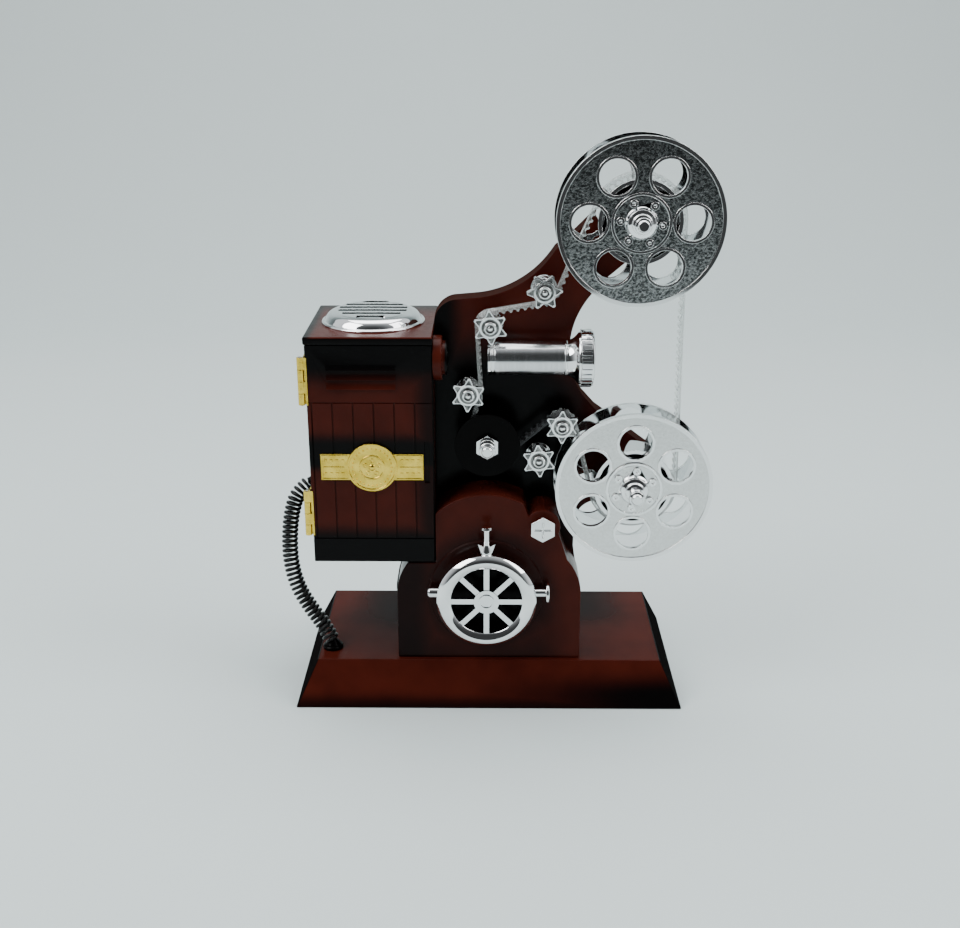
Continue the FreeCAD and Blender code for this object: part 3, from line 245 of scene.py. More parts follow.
def shaded_mahogany(name, black):
    """Polished red-brown plastic, with black painted in as shade where the black function says."""
    finish = Finish(name)
    tone = finish.mix(finish.ramp(finish.noise(60, 3), 0.3, 0.75), MAHOGANY, MAHOGANY_DEEP)
    # Noise that breaks up the edge of the painted shade.
    shade_wobble = finish.math("MULTIPLY", finish.math("SUBTRACT", finish.noise(24, 3), 0.5), 0.12)
    mask = finish.math("ADD", black(finish), shade_wobble)
    finish.colour(finish.mix(finish.ramp(mask, 0.0, 1.0), tone, PAINTED_SHADE_BLACK))
    finish.roughness(finish.ramp(finish.noise(420, 2), 0.3, 0.75, 0.20, 0.27))
    finish.bump(finish.noise(900, 2), 0.04, 0.0002)
    return finish.set(Specular_IOR_Level=0.07).material


def highest(finish, *sockets):
    """The largest of several masks."""
    result = sockets[0]
    for socket in sockets[1:]:
        result = finish.math("MAXIMUM", result, socket)
    return result


def band(finish, value, start, full, full_end, end):
    """A mask that rises from start to full and falls from full_end to end."""
    return finish.math("MINIMUM", finish.ramp(value, start, full), finish.ramp(value, end, full_end))


# ---------------------------------------------------------------- materials

def door_black(f):
    """Painted shade: black across the top, behind the nameplate and along the bottom of the door."""
    x, z = f.axes["x"], f.axes["z"]
    top = f.ramp(z, 0.137, 0.153)
    middle = band(f, z, 0.1035, 0.1105, 0.1165, 0.127)
    foot = f.ramp(z, 0.087, 0.074)
    edge = f.math("MULTIPLY", f.ramp(x, -0.036, -0.0245), 0.75)
    return highest(f, top, middle, foot, edge)


def lamp_black(f):
    """Painted shade: black towards the front edges of the lamp house, red-brown on its sides."""
    y, z = f.axes["y"], f.axes["z"]
    foot = f.ramp(z, 0.083, 0.068)
    head = f.ramp(z, 0.146, 0.159)
    return highest(f, foot, head, f.ramp(y, -0.022, -0.0295))


def lid_black(f):
    """Painted shade and reflection on a lid: its edge black all round, its top red-brown towards the
    front where the light falls, and darkened towards the back and the left.
    """
    x, y, z = f.axes["x"], f.axes["y"], f.axes["z"]
    side = f.ramp(z, 0.1632, 0.1625)
    back = f.ramp(y, 0.002, 0.024)
    left = f.ramp(x, -0.069, -0.0745)
    return highest(f, side, f.math("MULTIPLY", back, 0.8), left)


def column_black(f):
    """Painted shade: black over the middle of the column and towards the lamp house, clear at the arms.
    """
    x, z = f.axes["x"], f.axes["z"]
    core = f.ramp(f.radius(0.002, 0.116), 0.058, 0.026)
    left = f.math("MULTIPLY", f.ramp(x, -0.006, -0.020), f.ramp(z, 0.196, 0.172))
    lower = band(f, z, 0.080, 0.092, 0.126, 0.142)
    lower = f.math("MULTIPLY", lower, f.ramp(x, 0.047, 0.030))
    edge = f.math("MULTIPLY", f.ramp(z, 0.150, 0.136), f.ramp(x, 0.052, 0.026))
    return highest(f, core, left, lower, f.math("MULTIPLY", edge, 0.9))


def case_black(f):
    """Painted shade: dark round the foot of the gear case, on its left side and round the drum,
    red-brown at its right shoulder.
    """
    x, z = f.axes["x"], f.axes["z"]
    foot = f.math("MULTIPLY", f.ramp(z, 0.050, 0.020), f.ramp(x, 0.041, 0.020, 0.0, 0.6))
    left = f.math("MULTIPLY", f.ramp(x, -0.012, -0.033), 0.78)
    shade = f.math("MULTIPLY", f.ramp(f.radius(-0.001, 0.0507), 0.040, 0.022), 0.7)
    return highest(f, foot, left, shade)


END_SLOPE = 9 / 19


def plinth_black(f):
    """Painted shade: black at the foot, on the end faces and to the right of the front, and round the
    column.
    """
    x, y, z = f.axes["x"], f.axes["y"], f.axes["z"]
    sideways = f.math("ABSOLUTE", x)
    foot = f.math("MULTIPLY", f.ramp(z, 0.009, 0.0), 0.8)
    slope = f.math("MULTIPLY", z, END_SLOPE)
    ends = f.ramp(f.math("ADD", sideways, slope), 0.0832, 0.0838)
    front = f.math("MULTIPLY", f.ramp(y, -0.0332, -0.0340), f.ramp(z, 0.0190, 0.0050))
    right = f.math("MULTIPLY", f.ramp(x, -0.045, 0.085), front)
    behind = f.math("MULTIPLY", f.ramp(y, -0.020, 0.016), f.ramp(sideways, 0.078, 0.045))
    return highest(f, foot, ends, right, f.math("MULTIPLY", behind, 0.8))


def chrome():
    """Bright plated plastic with faint handling marks."""
    f = Finish("chrome")
    f.colour(f.mix(f.ramp(f.noise(160, 5), 0.3, 0.8), (0.90, 0.91, 0.91), (0.83, 0.84, 0.85)))
    f.roughness(f.ramp(f.noise(330, 4), 0.35, 0.8, 0.03, 0.09))
    f.bump(f.noise(260, 2), 0.015, 0.0002)
    return f.set(Metallic=1.0).material


GRAINED_ROUGHNESS = 0.24
POLISHED_ROUGHNESS = 0.05
GRAIN_HALF_DEPTH = 0.12 * MM


def grained_metal(name, grained, light, dark, cells):
    """Polished plating that is grained where the grained function says."""
    f = Finish(name)
    speck = f.noise(cells, 4)
    mask = grained(f)
    frost = f.mix(f.ramp(speck, 0.34, 0.66), dark, light)
    f.colour(f.mix(mask, POLISHED, frost))
    rougher = f.math("MULTIPLY", mask, GRAINED_ROUGHNESS - POLISHED_ROUGHNESS)
    f.roughness(f.math("ADD", rougher, POLISHED_ROUGHNESS))
    f.bump(f.math("MULTIPLY", speck, mask), 0.30, 0.00022)
    return f.set(Metallic=1.0).material


def near(f, axis, place, reach):
    """A mask that is one within a distance of a place along an axis."""
    off = f.math("ABSOLUTE", f.math("SUBTRACT", f.axes[axis], place))
    return f.ramp(off, reach * 1.2, reach)


COLLAR_END = 2.9 * MM
NECK_START = 30.8 * MM
FINISH_CHANGE = 0.1 * MM


def barrel_metal():
    """A silver barrel with a fine turned finish, polished at its collar and its flare."""
    f = Finish("barrel_metal")
    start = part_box("lens_barrel")[0].x
    rings = f.noise(220, 2, (9, 0.2, 0.2))
    turned = band(f, f.axes["x"], start + COLLAR_END, start + COLLAR_END + FINISH_CHANGE,
                  start + NECK_START, start + NECK_START + FINISH_CHANGE)
    satin = f.mix(f.ramp(rings, 0.3, 0.7), (0.72, 0.73, 0.74), (0.64, 0.65, 0.66))
    f.colour(f.mix(turned, POLISHED, satin))
    f.roughness(f.math("ADD", f.math("MULTIPLY", turned, 0.16), POLISHED_ROUGHNESS))
    f.bump(rings, 0.01, 0.0001)
    return f.set(Metallic=1.0).material


def brass():
    """Yellow plated brass, slightly mottled."""
    f = Finish("brass")
    f.colour(f.mix(f.ramp(f.noise(210, 5), 0.3, 0.75), (0.88, 0.64, 0.11), (0.62, 0.43, 0.05)))
    f.roughness(f.ramp(f.noise(700, 4), 0.3, 0.75, 0.14, 0.30))
    f.bump(f.noise(1200, 3), 0.12, 0.0001)
    return f.set(Metallic=1.0).material


def steel():
    """Zinc-plated steel."""
    f = Finish("steel")
    f.colour(f.mix(f.ramp(f.noise(380, 5), 0.3, 0.7), (0.58, 0.58, 0.57), (0.44, 0.44, 0.44)))
    f.roughness(f.ramp(f.noise(900, 3), 0.3, 0.7, 0.26, 0.42))
    f.bump(f.noise(1500, 2), 0.08, 0.0001)
    return f.set(Metallic=1.0).material


def black_gloss():
    """Gloss black plastic."""
    f = Finish("black_gloss")
    f.colour(f.mix(f.noise(60, 3), (0.0013, 0.0012, 0.0012), (0.0022, 0.0019, 0.0019)))
    f.roughness(f.ramp(f.noise(400, 3), 0.3, 0.75, 0.16, 0.26))
    f.bump(f.noise(800, 2), 0.05, 0.0002)
    return f.set(Specular_IOR_Level=0.04).material


def moulded(name, light, dark, rough, gloss=0.5):
    """A plain moulded plastic or rubber with a fine texture."""
    f = Finish(name)
    f.colour(f.mix(f.noise(180, 4), light, dark))
    f.roughness(f.ramp(f.noise(700, 3), 0.3, 0.75, rough, rough + 0.15))
    f.bump(f.noise(1400, 3), 0.15, 0.0001)
    return f.set(Specular_IOR_Level=gloss).material


def film_plastic():
    """The belt's clear plastic: mostly see-through, a little milky, and darkened grey as painted shade
    in a band below the third star.
    """
    f = Finish("film_plastic")
    x, z = f.axes["x"], f.axes["z"]
    pale = f.mix(f.noise(300, 3), (0.90, 0.92, 0.91), (0.82, 0.85, 0.84))
    # Painted shade: dark grey between 100 and 132 mm up, left of the belt's right-hand run.
    painted_shade_band = f.math("MULTIPLY", band(f, z, 0.100, 0.104, 0.128, 0.132), f.ramp(x, 0.036, 0.032))
    f.colour(f.mix(painted_shade_band, pale, (0.16, 0.165, 0.17)))
    f.roughness(f.ramp(f.noise(900, 3), 0.3, 0.75, 0.14, 0.26))
    f.bump(f.noise(1500, 2), 0.04, 0.0001)
    return f.set(Transmission_Weight=0.80, IOR=1.2).material


def glass():
    """Clear lens glass with a slight coating tint."""
    f = Finish("glass")
    f.colour(f.mix(f.noise(90, 2), (0.93, 0.96, 0.98), (0.88, 0.93, 0.97)))
    f.roughness(f.ramp(f.noise(500, 2), 0.3, 0.8, 0.01, 0.04))
    return f.set(Transmission_Weight=1.0, IOR=1.5, Coat_Weight=0.5).material


def matt(name, light, dark):
    """Plastic with no gloss."""
    f = Finish(name)
    f.colour(f.mix(f.noise(200, 3), light, dark))
    f.roughness(f.ramp(f.noise(500, 2), 0.3, 0.75, 0.8, 0.9))
    return f.set(Specular_IOR_Level=0.0).material


FINISHES = {
    "chrome": chrome(),
    "satin_metal": barrel_metal(),
    "brass": brass(),
    "steel": steel(),
    "black_plastic": black_gloss(),
    "matt_black": matt("matt_black", (0.004, 0.004, 0.004), (0.008, 0.007, 0.007)),
    # A duller, greyer copy of the mahogany, as painted shade for the column's side walls.
    "matt_shaded_mahogany": matt("matt_shaded_mahogany", (0.036, 0.016, 0.013), (0.026, 0.012, 0.010)),
    "nylon": moulded("nylon", (0.74, 0.71, 0.62), (0.66, 0.63, 0.54), 0.4),
    "rubber": moulded("rubber", (0.018, 0.018, 0.018), (0.03, 0.03, 0.03), 0.6),
    "film": film_plastic(),
    "glass": glass(),
    "cord": moulded("cord_plastic", (0.002, 0.002, 0.002), (0.004, 0.004, 0.004), 0.24, 0.25),
    "mahogany": shaded_mahogany("shaded_column", column_black),
}
OWN_FINISH = {
    "door_panel": shaded_mahogany("shaded_door", door_black),
    "lamp_house_body": shaded_mahogany("shaded_lamp_house", lamp_black),
    "lamp_house_lid": shaded_mahogany("shaded_lid", lid_black),
    # The snout goes black towards its right end: painted shade.
    "condenser_snout": shaded_mahogany("shaded_snout", lambda f: f.ramp(f.axes["x"], -0.0188, -0.0175)),
    "gear_case": shaded_mahogany("shaded_case", case_black),
    "base_shell": shaded_mahogany("shaded_plinth", plinth_black),
}
# Each piece below is grained only on one plane across its front: the recess of a reel's disc,
# the hub plate that stands proud of it, the recess of a star and the face of a screw.
REEL_RECESS = 0.5 * MM
HUB_RISE = 0.6 * MM
STAR_RECESS = 0.3 * MM
REEL_GRAIN_CELLS = 1100
STAR_GRAIN_CELLS = 500
STAR_GRAIN = ((0.30, 0.30, 0.29), (0.08, 0.08, 0.08))
STAR_GRAIN_HALF_DEPTH = 0.14 * MM
# The grain tones also carry painted reflection: dark on the upper reel, pale on the lower one.
REEL_GRAIN_AND_REFLECTION = {
    "upper": ((0.46, 0.47, 0.47), (0.08, 0.085, 0.085)),
    "lower": ((0.78, 0.79, 0.78), (0.70, 0.71, 0.70)),
}
for reel, (light, dark) in REEL_GRAIN_AND_REFLECTION.items():
    disc_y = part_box(f"{reel}_reel_front_disc")[0].y + REEL_RECESS
    OWN_FINISH[f"{reel}_reel_front_disc"] = grained_metal(
        f"grained_{reel}_disc", lambda f: near(f, "y", disc_y, GRAIN_HALF_DEPTH),
        light, dark, REEL_GRAIN_CELLS)
    plate_y = disc_y - HUB_RISE
    OWN_FINISH[f"{reel}_reel_hub"] = grained_metal(
        f"grained_{reel}_hub", lambda f: near(f, "y", plate_y, GRAIN_HALF_DEPTH),
        light, dark, REEL_GRAIN_CELLS)
for number in range(1, 6):
    star_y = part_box(f"sprocket_{number}")[0].y + STAR_RECESS
    OWN_FINISH[f"sprocket_{number}"] = grained_metal(
        f"grained_star_{number}", lambda f: near(f, "y", star_y, STAR_GRAIN_HALF_DEPTH),
        *STAR_GRAIN, STAR_GRAIN_CELLS)
screw_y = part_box("sprocket_screws")[0].y
OWN_FINISH["sprocket_screws"] = grained_metal(
    "grained_screws", lambda f: near(f, "y", screw_y, STAR_GRAIN_HALF_DEPTH),
    *STAR_GRAIN, STAR_GRAIN_CELLS)

# How far the edges of each kind of part are rounded, in metres.
EDGE = {
    "body_front": 1.3 * MM, "body_rear": 1.3 * MM, "gear_case": 0.9 * MM, "base_shell": 0.5 * MM,
    "lamp_house_body": 0.4 * MM, "lamp_house_lid": 0.6 * MM, "door_panel": 0.12 * MM,
    "condenser_snout": 0.3 * MM, "nameplate": 0.15 * MM, "hex_knob": 0.25 * MM,
    "winding_key": 0.5 * MM, "vent_cap": 0.2 * MM, "motor_ring": 0.2 * MM, "drive_cover": 0.3 * MM,
    "base_cover": 0.3 * MM,
}
SMALL_EDGE = 0.12 * MM


def dress_cad_nodes():
    """Give every CAD node its finish, round its edges and smooth its turned faces."""
    slot_of = {entry["node"]: entry["material_slot"] for entry in frame["record"]["subparts"]}
    for name, node in frame["nodes"].items():
        node.data.materials.clear()
        node.data.materials.append(OWN_FINISH.get(name) or FINISHES[slot_of[name]])
        if "custom_normal" in node.data.attributes:
            node.data.attributes.remove(node.data.attributes["custom_normal"])
        for face in node.data.polygons:
            face.use_smooth = True
        soften(node, EDGE.get(name, SMALL_EDGE))


def repaint(name, wanted, finish):
    """Give the faces of a CAD node that the wanted function picks another finish."""
    node = frame["nodes"][name]
    node.data.materials.append(FINISHES[finish])
    for face in node.data.polygons:
        if wanted(face):
            face.material_index = len(node.data.materials) - 1


VENT_MIDDLE = centre("vent_cap")
VENT_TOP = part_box("vent_cap")[1].z
SLOT_REACH = 14.45 * MM
SLOT_FLOOR = 1.5 * MM
SLOT_BOTTOM = 2.5 * MM


def in_vent_slot(face):
    """Whether a face of the vent cap is a wall or the floor of a slot."""
    across = face.center - VENT_MIDDLE
    inside = math.hypot(across.x, across.y) < SLOT_REACH
    deep = abs(face.normal.z) < 0.5 or face.center.z < VENT_TOP - SLOT_FLOOR
    return inside and deep and face.center.z > VENT_TOP - SLOT_BOTTOM


def on_side_wall(face):
    """Whether a face of the column looks sideways, up or down."""
    return abs(face.normal.y) < 0.5


def on_plinth_end(face):
    """Whether a face of the base is one of its sloping ends."""
    return abs(face.normal.x) > 0.7


# ---------------------------------------------------------------- curly cord

CORD_ROUTE = [(-77.2, -7, 92.6), (-83.6, -8.4, 88.2), (-86.7, -9.8, 79.3), (-88.0, -11.4, 67.8),
              (-87.8, -13.2, 56.0), (-84.9, -15.6, 45.3), (-79.2, -18.4, 36.4), (-72.6, -21.0, 28.4),
              (-69.4, -22.6, 21.4)]
WIRE = 1.4 * MM
COIL_RADIUS = 3.0 * MM
COIL_PITCH = 2.15 * MM
POINTS_PER_TURN = 14
ROUTE_RESOLUTION = 24
RELIEF_PROFILE = [(3.6, -0.6), (3.4, 0.3), (2.9, 0.6), (2.7, 1.4), (1.6, 2.4), (1.2, 3.0)]


def scaled(profile):
    """A profile given in millimetres, in metres."""
    return [(radius * MM, distance * MM) for radius, distance in profile]


def nurbs_curve(name, points, thickness=0.0):
    """A smooth curve that takes its points as control points."""
    curve = bpy.data.curves.new(name, "CURVE")
    curve.dimensions = "3D"
    spline = curve.splines.new("NURBS")
    spline.points.add(len(points) - 1)
    for slot, point in zip(spline.points, points):
        slot.co = (*point, 1)
    spline.order_u = 3
    spline.use_endpoint_u = True
    spline.resolution_u = 6
    curve.bevel_depth = thickness / 2
    curve.bevel_resolution = 4
    return curve


def route_points(curve):
    """The points along a curve that has no bevel."""
    bare = bpy.data.objects.new("bare", curve)
    mesh = bpy.data.meshes.new_from_object(bare)
    points = [vertex.co.copy() for vertex in mesh.vertices]
    bpy.data.objects.remove(bare)
    bpy.data.meshes.remove(mesh)
    return points


def evenly(points, count):
    """The same line with count points evenly along it, and its length."""
    reach = [0.0]
    for before, after in zip(points, points[1:]):
        reach.append(reach[-1] + (after - before).length)
    result, i = [], 0
    for k in range(count):
        target = reach[-1] * k / (count - 1)
        while i < len(points) - 2 and reach[i + 1] < target:
            i += 1
        part = (target - reach[i]) / (reach[i + 1] - reach[i])
        result.append(points[i].lerp(points[i + 1], part))
    return result, reach[-1]


def helix_points():
    """The wire's points, wound round the route, tapering into the glands at both ends."""
    route = nurbs_curve("cord_route", [Vector(p) * MM for p in CORD_ROUTE])
    route.splines[0].resolution_u = ROUTE_RESOLUTION
    line = route_points(route)
    length = evenly(line, 2)[1]
    turns = round(length / COIL_PITCH)
    spots, _ = evenly(line, turns * POINTS_PER_TURN + 1)
    side = None
    points = []
    for i, spot in enumerate(spots):
        ahead = (spots[min(i + 1, len(spots) - 1)] - spots[max(i - 1, 0)]).normalized()
        side = side or ahead.orthogonal()
        side = (side - ahead * side.dot(ahead)).normalized()
        angle = 2 * math.pi * i / POINTS_PER_TURN
        from_end = min(i, len(spots) - 1 - i) / POINTS_PER_TURN
        radius = COIL_RADIUS * min(1.0, 0.25 + 0.75 * from_end)
        points.append(spot + Quaternion(ahead, angle) @ side * radius)
    return points


def make_cord():
    """The curly cord, wound round its route, and its two tapered reliefs."""
    points = helix_points()
    curve = nurbs_curve("curly_cord_wire", points, WIRE)
    curve.materials.append(FINISHES["cord"])
    wire = bpy.data.objects.new("curly_cord_wire", curve)
    bpy.context.scene.collection.objects.link(wire)
    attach(wire, "frame")
    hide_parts("curly_cord")
    upper, lower = centre("cord_gland_upper"), centre("cord_gland_lower")
    upper.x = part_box("cord_gland_upper")[0].x
    lower.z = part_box("cord_gland_lower")[1].z
    for name, start, way in (("upper", upper, (-1, 0, 0)), ("lower", lower, (0, 0, 1))):
        mesh = turned_mesh(f"cord_relief_{name}", scaled(RELIEF_PROFILE), start, way, 32)
        new_object(f"cord_relief_{name}", mesh, "frame",
                                  FINISHES["black_plastic"])


# ---------------------------------------------------------------- film belt

BELT_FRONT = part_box("film_belt")[0].y
BELT_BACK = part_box("film_belt")[1].y
BELT_HALF = 0.95 * MM
TOOTH_PITCH = 2.9 * MM
TOOTH_DEPTH = 0.95 * MM
TOOTH_OUTLINE = [0, 0, 0.35, 1, 1, 1, 0.35, 0]
STEPS_PER_TOOTH = len(TOOTH_OUTLINE)
BELT_GAP = 0.3 * MM
REEL_CORE_RADIUS = 16.5 * MM
ROLLER_RADIUS = 4 * MM
DRUM_RADIUS = 7.6 * MM


def belt_circles():
    """The rollers that the belt goes round, as (x, z, radius of the belt's middle, sense)."""
    off = BELT_GAP + BELT_HALF
    core = REEL_CORE_RADIUS + off
    roller = ROLLER_RADIUS + off
    drum = DRUM_RADIUS + off
    stops = [("upper_reel_core", core, 1), ("sprocket_1", roller, -1), ("sprocket_2", roller, 1),
             ("sprocket_3", roller, -1), ("drive_drum", drum, 1), ("sprocket_4", roller, -1),
             ("lower_reel_core", core, 1)]
    return [(centre(node).x, centre(node).z, radius, sense) for node, radius, sense in stops]


def belt_line(circles):
    """The middle line of the belt as (x, z, heading) points close together."""
    runs = []
    for i, (x, z, radius, sense) in enumerate(circles):
        next_x, next_z, next_radius, next_sense = circles[(i + 1) % len(circles)]
        gap = math.hypot(next_x - x, next_z - z)
        heading = math.atan2(next_z - z, next_x - x)
        signed, next_signed = sense * radius, next_sense * next_radius
        heading += math.asin((signed - next_signed) / gap)
        side_x, side_z = math.sin(heading), -math.cos(heading)
        runs.append(((x + side_x * signed, z + side_z * signed),
                     (next_x + side_x * next_signed, next_z + side_z * next_signed), heading))
    step = TOOTH_PITCH / STEPS_PER_TOOTH
    line = []
    for i, (leave, reach, heading) in enumerate(runs):
        length = math.dist(leave, reach)
        for k in range(max(1, round(length / step))):
            part = k * step / length
            line.append((leave[0] + (reach[0] - leave[0]) * part,
                         leave[1] + (reach[1] - leave[1]) * part, heading))
        x, z, radius, sense = circles[(i + 1) % len(circles)]
        sweep = (runs[(i + 1) % len(runs)][2] - heading) * sense % (2 * math.pi)
        for k in range(max(1, round(sweep * radius / step))):
            turned = heading + sense * k * step / radius
            line.append((x + radius * sense * math.sin(turned),
                         z - radius * sense * math.cos(turned), turned))
    return line


def make_film():
    """The toothed film loop, its teeth on the side that meets the drum."""
    line = belt_line(belt_circles())
    points, faces = [], []
    for i, (x, z, heading) in enumerate(line):
        left = (-math.sin(heading), math.cos(heading))
        reach = TOOTH_OUTLINE[i % STEPS_PER_TOOTH] * TOOTH_DEPTH
        corners = ((reach, BELT_FRONT), (-BELT_HALF, BELT_FRONT),
                   (-BELT_HALF, BELT_BACK), (reach, BELT_BACK))
        for offset, y in corners:
            points.append((x + left[0] * offset, y, z + left[1] * offset))
    count = len(line)
    for i in range(count):
        after = (i + 1) % count
        for k in range(4):
            faces.append((i * 4 + k, i * 4 + (k + 1) % 4, after * 4 + (k + 1) % 4, after * 4 + k))
    mesh = mesh_from("film_loop", points, faces, smooth=False)
    film = new_object("film_loop", mesh, "frame", FINISHES["film"])
    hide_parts("film_belt")


# ---------------------------------------------------------------- plate ornament and star rims

# The bars on each arm of the plate, as (x, z, width, height, rise) in millimetres from its middle.
ARM_BARS = [(12.2 + 2.35 * k, row * 2.9, 1.25, 1.1, 0.28) for k in range(4) for row in (-1, 1)]
ARM_BARS += [(15.8, 0, 8.6, 0.5, 0.28), (20.6, 0, 0.6, 10.6, 0.3)]
ARM_BARS += [(15.4, row * 5.1, 10.6, 0.55, 0.3) for row in (-1, 1)]
BEADS = 28
BEAD_CIRCLE = 8.1 * MM
BEAD_RADIUS = 0.42 * MM
SMALL_REEL = [(5.4, 0), (5.4, 0.35), (4.7, 0.35), (4.7, 0.02), (1.3, 0.02), (1.3, 0.4), (0.01, 0.4)]
WINDOW_RING = [(0.95, 0), (0.95, 0.3), (0.6, 0.3), (0.6, 0.03)]
WINDOWS = 5
WINDOW_CIRCLE = 3 * MM


def make_plate_ornament():
    """Generic relief on the blank plate: a border, a ring of beads, film squares and a small reel."""
    middle = centre("nameplate")
    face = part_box("nameplate")[0].y
    ornament = bmesh.new()
    for side in (-1, 1):
        for x, z, width, height, rise in ARM_BARS:
            made = bmesh.ops.create_cube(ornament, size=1)["verts"]
            spot = (middle.x + side * x * MM, face + 0.8 * MM, middle.z + z * MM)
            bmesh.ops.scale(ornament, vec=(width * MM, rise * MM * 2, height * MM), verts=made)
            bmesh.ops.translate(ornament, vec=spot, verts=made)
    for k in range(BEADS):
        angle = 2 * math.pi * k / BEADS
        spot = (middle.x + BEAD_CIRCLE * math.cos(angle), face + 0.66 * MM,
                middle.z + BEAD_CIRCLE * math.sin(angle))
        made = bmesh.ops.create_icosphere(ornament, subdivisions=2, radius=BEAD_RADIUS)["verts"]
        bmesh.ops.translate(ornament, vec=spot, verts=made)
    mesh = bpy.data.meshes.new("plate_ornament")
    ornament.to_mesh(mesh)
    ornament.free()
    piece = new_object("plate_ornament", mesh, "door", FINISHES["brass"])
    soften(piece, 0.08 * MM, 1)

    start = Vector((middle.x, face + 0.7 * MM, middle.z))
    mesh = turned_mesh("plate_reel", scaled(SMALL_REEL), start, FRONT, 40)
    new_object("plate_reel", mesh, "door", FINISHES["brass"])
    for k in range(WINDOWS):
        angle = math.pi / 2 + 2 * math.pi * k / WINDOWS
        spot = start + WINDOW_CIRCLE * Vector((math.cos(angle), 0, math.sin(angle)))
        mesh = turned_mesh(f"plate_window_{k}", scaled(WINDOW_RING), spot, FRONT, 20)
        new_object(f"plate_window_{k}", mesh, "door", FINISHES["brass"])


# How far each star is turned at rest, in degrees, as its CAD solid is.
STAR_TWIST = {1: 34, 2: 5, 3: -3, 4: 0, 5: 5}
STAR_POINTS = 6
# The four corners of one point of a star, as (radius in mm, angle in degrees, and how much
# each of the two changes for every millimetre that the outline is drawn in).
STAR_CORNERS = [(7.2, -4, -1.25, 1.4), (7.2, 4, -1.25, -1.4), (4.8, 22, -0.85, 0), (4.8, 38, -0.85, 0)]
RIM_OUTSIDE = 0.1
RIM_INSIDE = 0.75
RIM_RISE = 0.32 * MM
SCREW_RING = [(2.45, 0), (2.45, 0.3), (1.75, 0.3), (1.65, 0.08), (0.95, 0.08), (0.85, 0.3), (0.01, 0.3)]


def star_outline(inset, twist):
    """A star's outline about its axis as (x, z) in metres, drawn in by inset millimetres."""
    outline = []
    for point in range(STAR_POINTS):
        for radius, offset, shrink, turn in STAR_CORNERS:
            angle = math.radians(90 + twist + 60 * point + offset + inset * turn)
            reach = (radius + inset * shrink) * MM
            outline.append((reach * math.cos(angle), reach * math.sin(angle)))
    return outline


def make_star_rims():
    """A raised rim along the outline of each star wheel, and a turned face on its screw."""
    screw_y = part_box("sprocket_screws")[0].y
    for number, twist in STAR_TWIST.items():
        node = f"sprocket_{number}"
        middle = centre(node)
        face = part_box(node)[0].y + STAR_RECESS
        points, faces = [], []
        for inset, y in ((RIM_OUTSIDE, face), (RIM_OUTSIDE, face - RIM_RISE),
                         (RIM_INSIDE, face - RIM_RISE), (RIM_INSIDE, face)):
            points += [(middle.x + x, y, middle.z + z) for x, z in star_outline(inset, twist)]
        corners = STAR_POINTS * len(STAR_CORNERS)
        for row in range(4):
            below = (row + 1) % 4
            for k in range(corners):
                after = (k + 1) % corners
                faces.append((row * corners + k, row * corners + after,
                              below * corners + after, below * corners + k))
        mesh = mesh_from(f"star_rim_{number}", points, faces)
        piece = new_object(f"star_rim_{number}", mesh, f"star_{number}", FINISHES["chrome"])
        soften(piece, 0.1 * MM)
        head = Vector((middle.x, screw_y + 0.05 * MM, middle.z))
        mesh = turned_mesh(f"screw_ring_{number}", scaled(SCREW_RING), head, FRONT, 32)
        new_object(f"screw_ring_{number}", mesh, "frame", OWN_FINISH["sprocket_screws"])


# ---------------------------------------------------------------- studio

FLOOR_FRONT = -0.85
FLOOR_BACK = 1.1
FLOOR_HALF_WIDTH = 3.5
FLOOR_DROP = 0.0002
BACKDROP_HEIGHT = 1.6
BACKDROP_BEND = 0.5
BEND_STEPS = 12


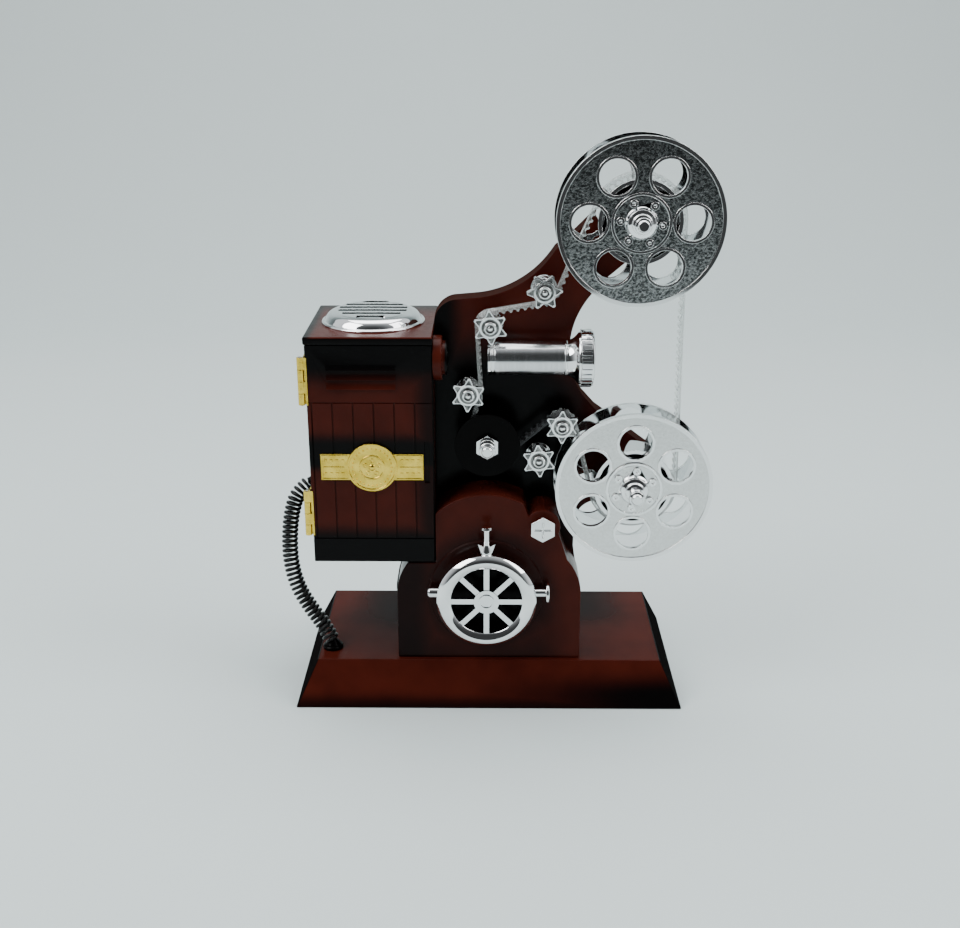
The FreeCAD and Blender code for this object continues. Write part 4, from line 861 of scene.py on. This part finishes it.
def make_floor():
    """A plain pale floor that curves up into a backdrop."""
    flat_end = FLOOR_BACK - BACKDROP_BEND
    rows = [(FLOOR_FRONT, 0.0), (flat_end, 0.0)]
    for k in range(1, BEND_STEPS + 1):
        angle = math.pi / 2 * k / BEND_STEPS
        rows.append((flat_end + BACKDROP_BEND * math.sin(angle),
                     BACKDROP_BEND - BACKDROP_BEND * math.cos(angle)))
    rows.append((FLOOR_BACK, BACKDROP_HEIGHT))
    points = [(x, y, z - FLOOR_DROP) for y, z in rows for x in (-FLOOR_HALF_WIDTH, FLOOR_HALF_WIDTH)]
    faces = [(2 * i, 2 * i + 1, 2 * i + 3, 2 * i + 2) for i in range(len(rows) - 1)]
    mesh = mesh_from("floor", points, faces)
    f = Finish("floor_paper")
    f.colour(f.mix(f.noise(3, 2), (0.625, 0.705, 0.705), (0.605, 0.685, 0.685)))
    f.roughness(f.ramp(f.noise(30, 2), 0.3, 0.7, 0.55, 0.65))
    mesh.materials.append(f.material)
    floor = bpy.data.objects.new("floor", mesh)
    bpy.context.scene.collection.objects.link(floor)


def soft_light(name, place, aim, size, power):
    """A large white rectangular light that points at a spot."""
    data = bpy.data.lights.new(name, "AREA")
    data.shape = "RECTANGLE"
    data.size, data.size_y = size
    data.energy = power
    lamp = bpy.data.objects.new(name, data)
    lamp.location = place
    lamp.rotation_euler = (Vector(aim) - Vector(place)).to_track_quat("-Z", "Y").to_euler()
    bpy.context.scene.collection.objects.link(lamp)


def make_studio():
    """Soft light from both sides and above, and a pale world that is darker towards the front."""
    soft_light("key", (-0.9, -0.5, 1.1), (0, 0, 0.1), (0.8, 0.8), 13)
    soft_light("fill", (1.0, -0.3, 0.9), (0, 0, 0.12), (0.6, 0.9), 8)
    soft_light("top", (0.0, 0.2, 1.3), (0, 0, 0.1), (1.2, 0.8), 14)
    world = bpy.data.worlds.new("studio")
    bpy.context.scene.world = world
    world.use_nodes = True
    nodes, links = world.node_tree.nodes, world.node_tree.links
    place = nodes.new("ShaderNodeTexCoord")
    parts = nodes.new("ShaderNodeSeparateXYZ")
    links.new(place.outputs["Generated"], parts.inputs[0])
    front = nodes.new("ShaderNodeMapRange")
    front.interpolation_type = "SMOOTHSTEP"
    front.inputs["From Min"].default_value = -0.8
    front.inputs["From Max"].default_value = 0.1
    front.inputs["To Min"].default_value = 0.05
    front.inputs["To Max"].default_value = 1.0
    links.new(parts.outputs[1], front.inputs["Value"])
    back = nodes["Background"]
    back.inputs["Color"].default_value = (0.93, 0.97, 1.0, 1)
    links.new(front.outputs["Result"], back.inputs["Strength"])


# ---------------------------------------------------------------- the model

make_cord()
dress_cad_nodes()
repaint("vent_cap", in_vent_slot, "matt_black")
# The base's sloping ends get matt black, painted shade that stays dark from any side.
repaint("base_shell", on_plinth_end, "matt_black")
# The column's sideways, upward and downward faces get the duller mahogany copy: painted shade.
for half in ("body_front", "body_rear"):
    repaint(half, on_side_wall, "matt_shaded_mahogany")
make_film()
make_plate_ornament()
make_star_rims()
make_floor()
make_studio()
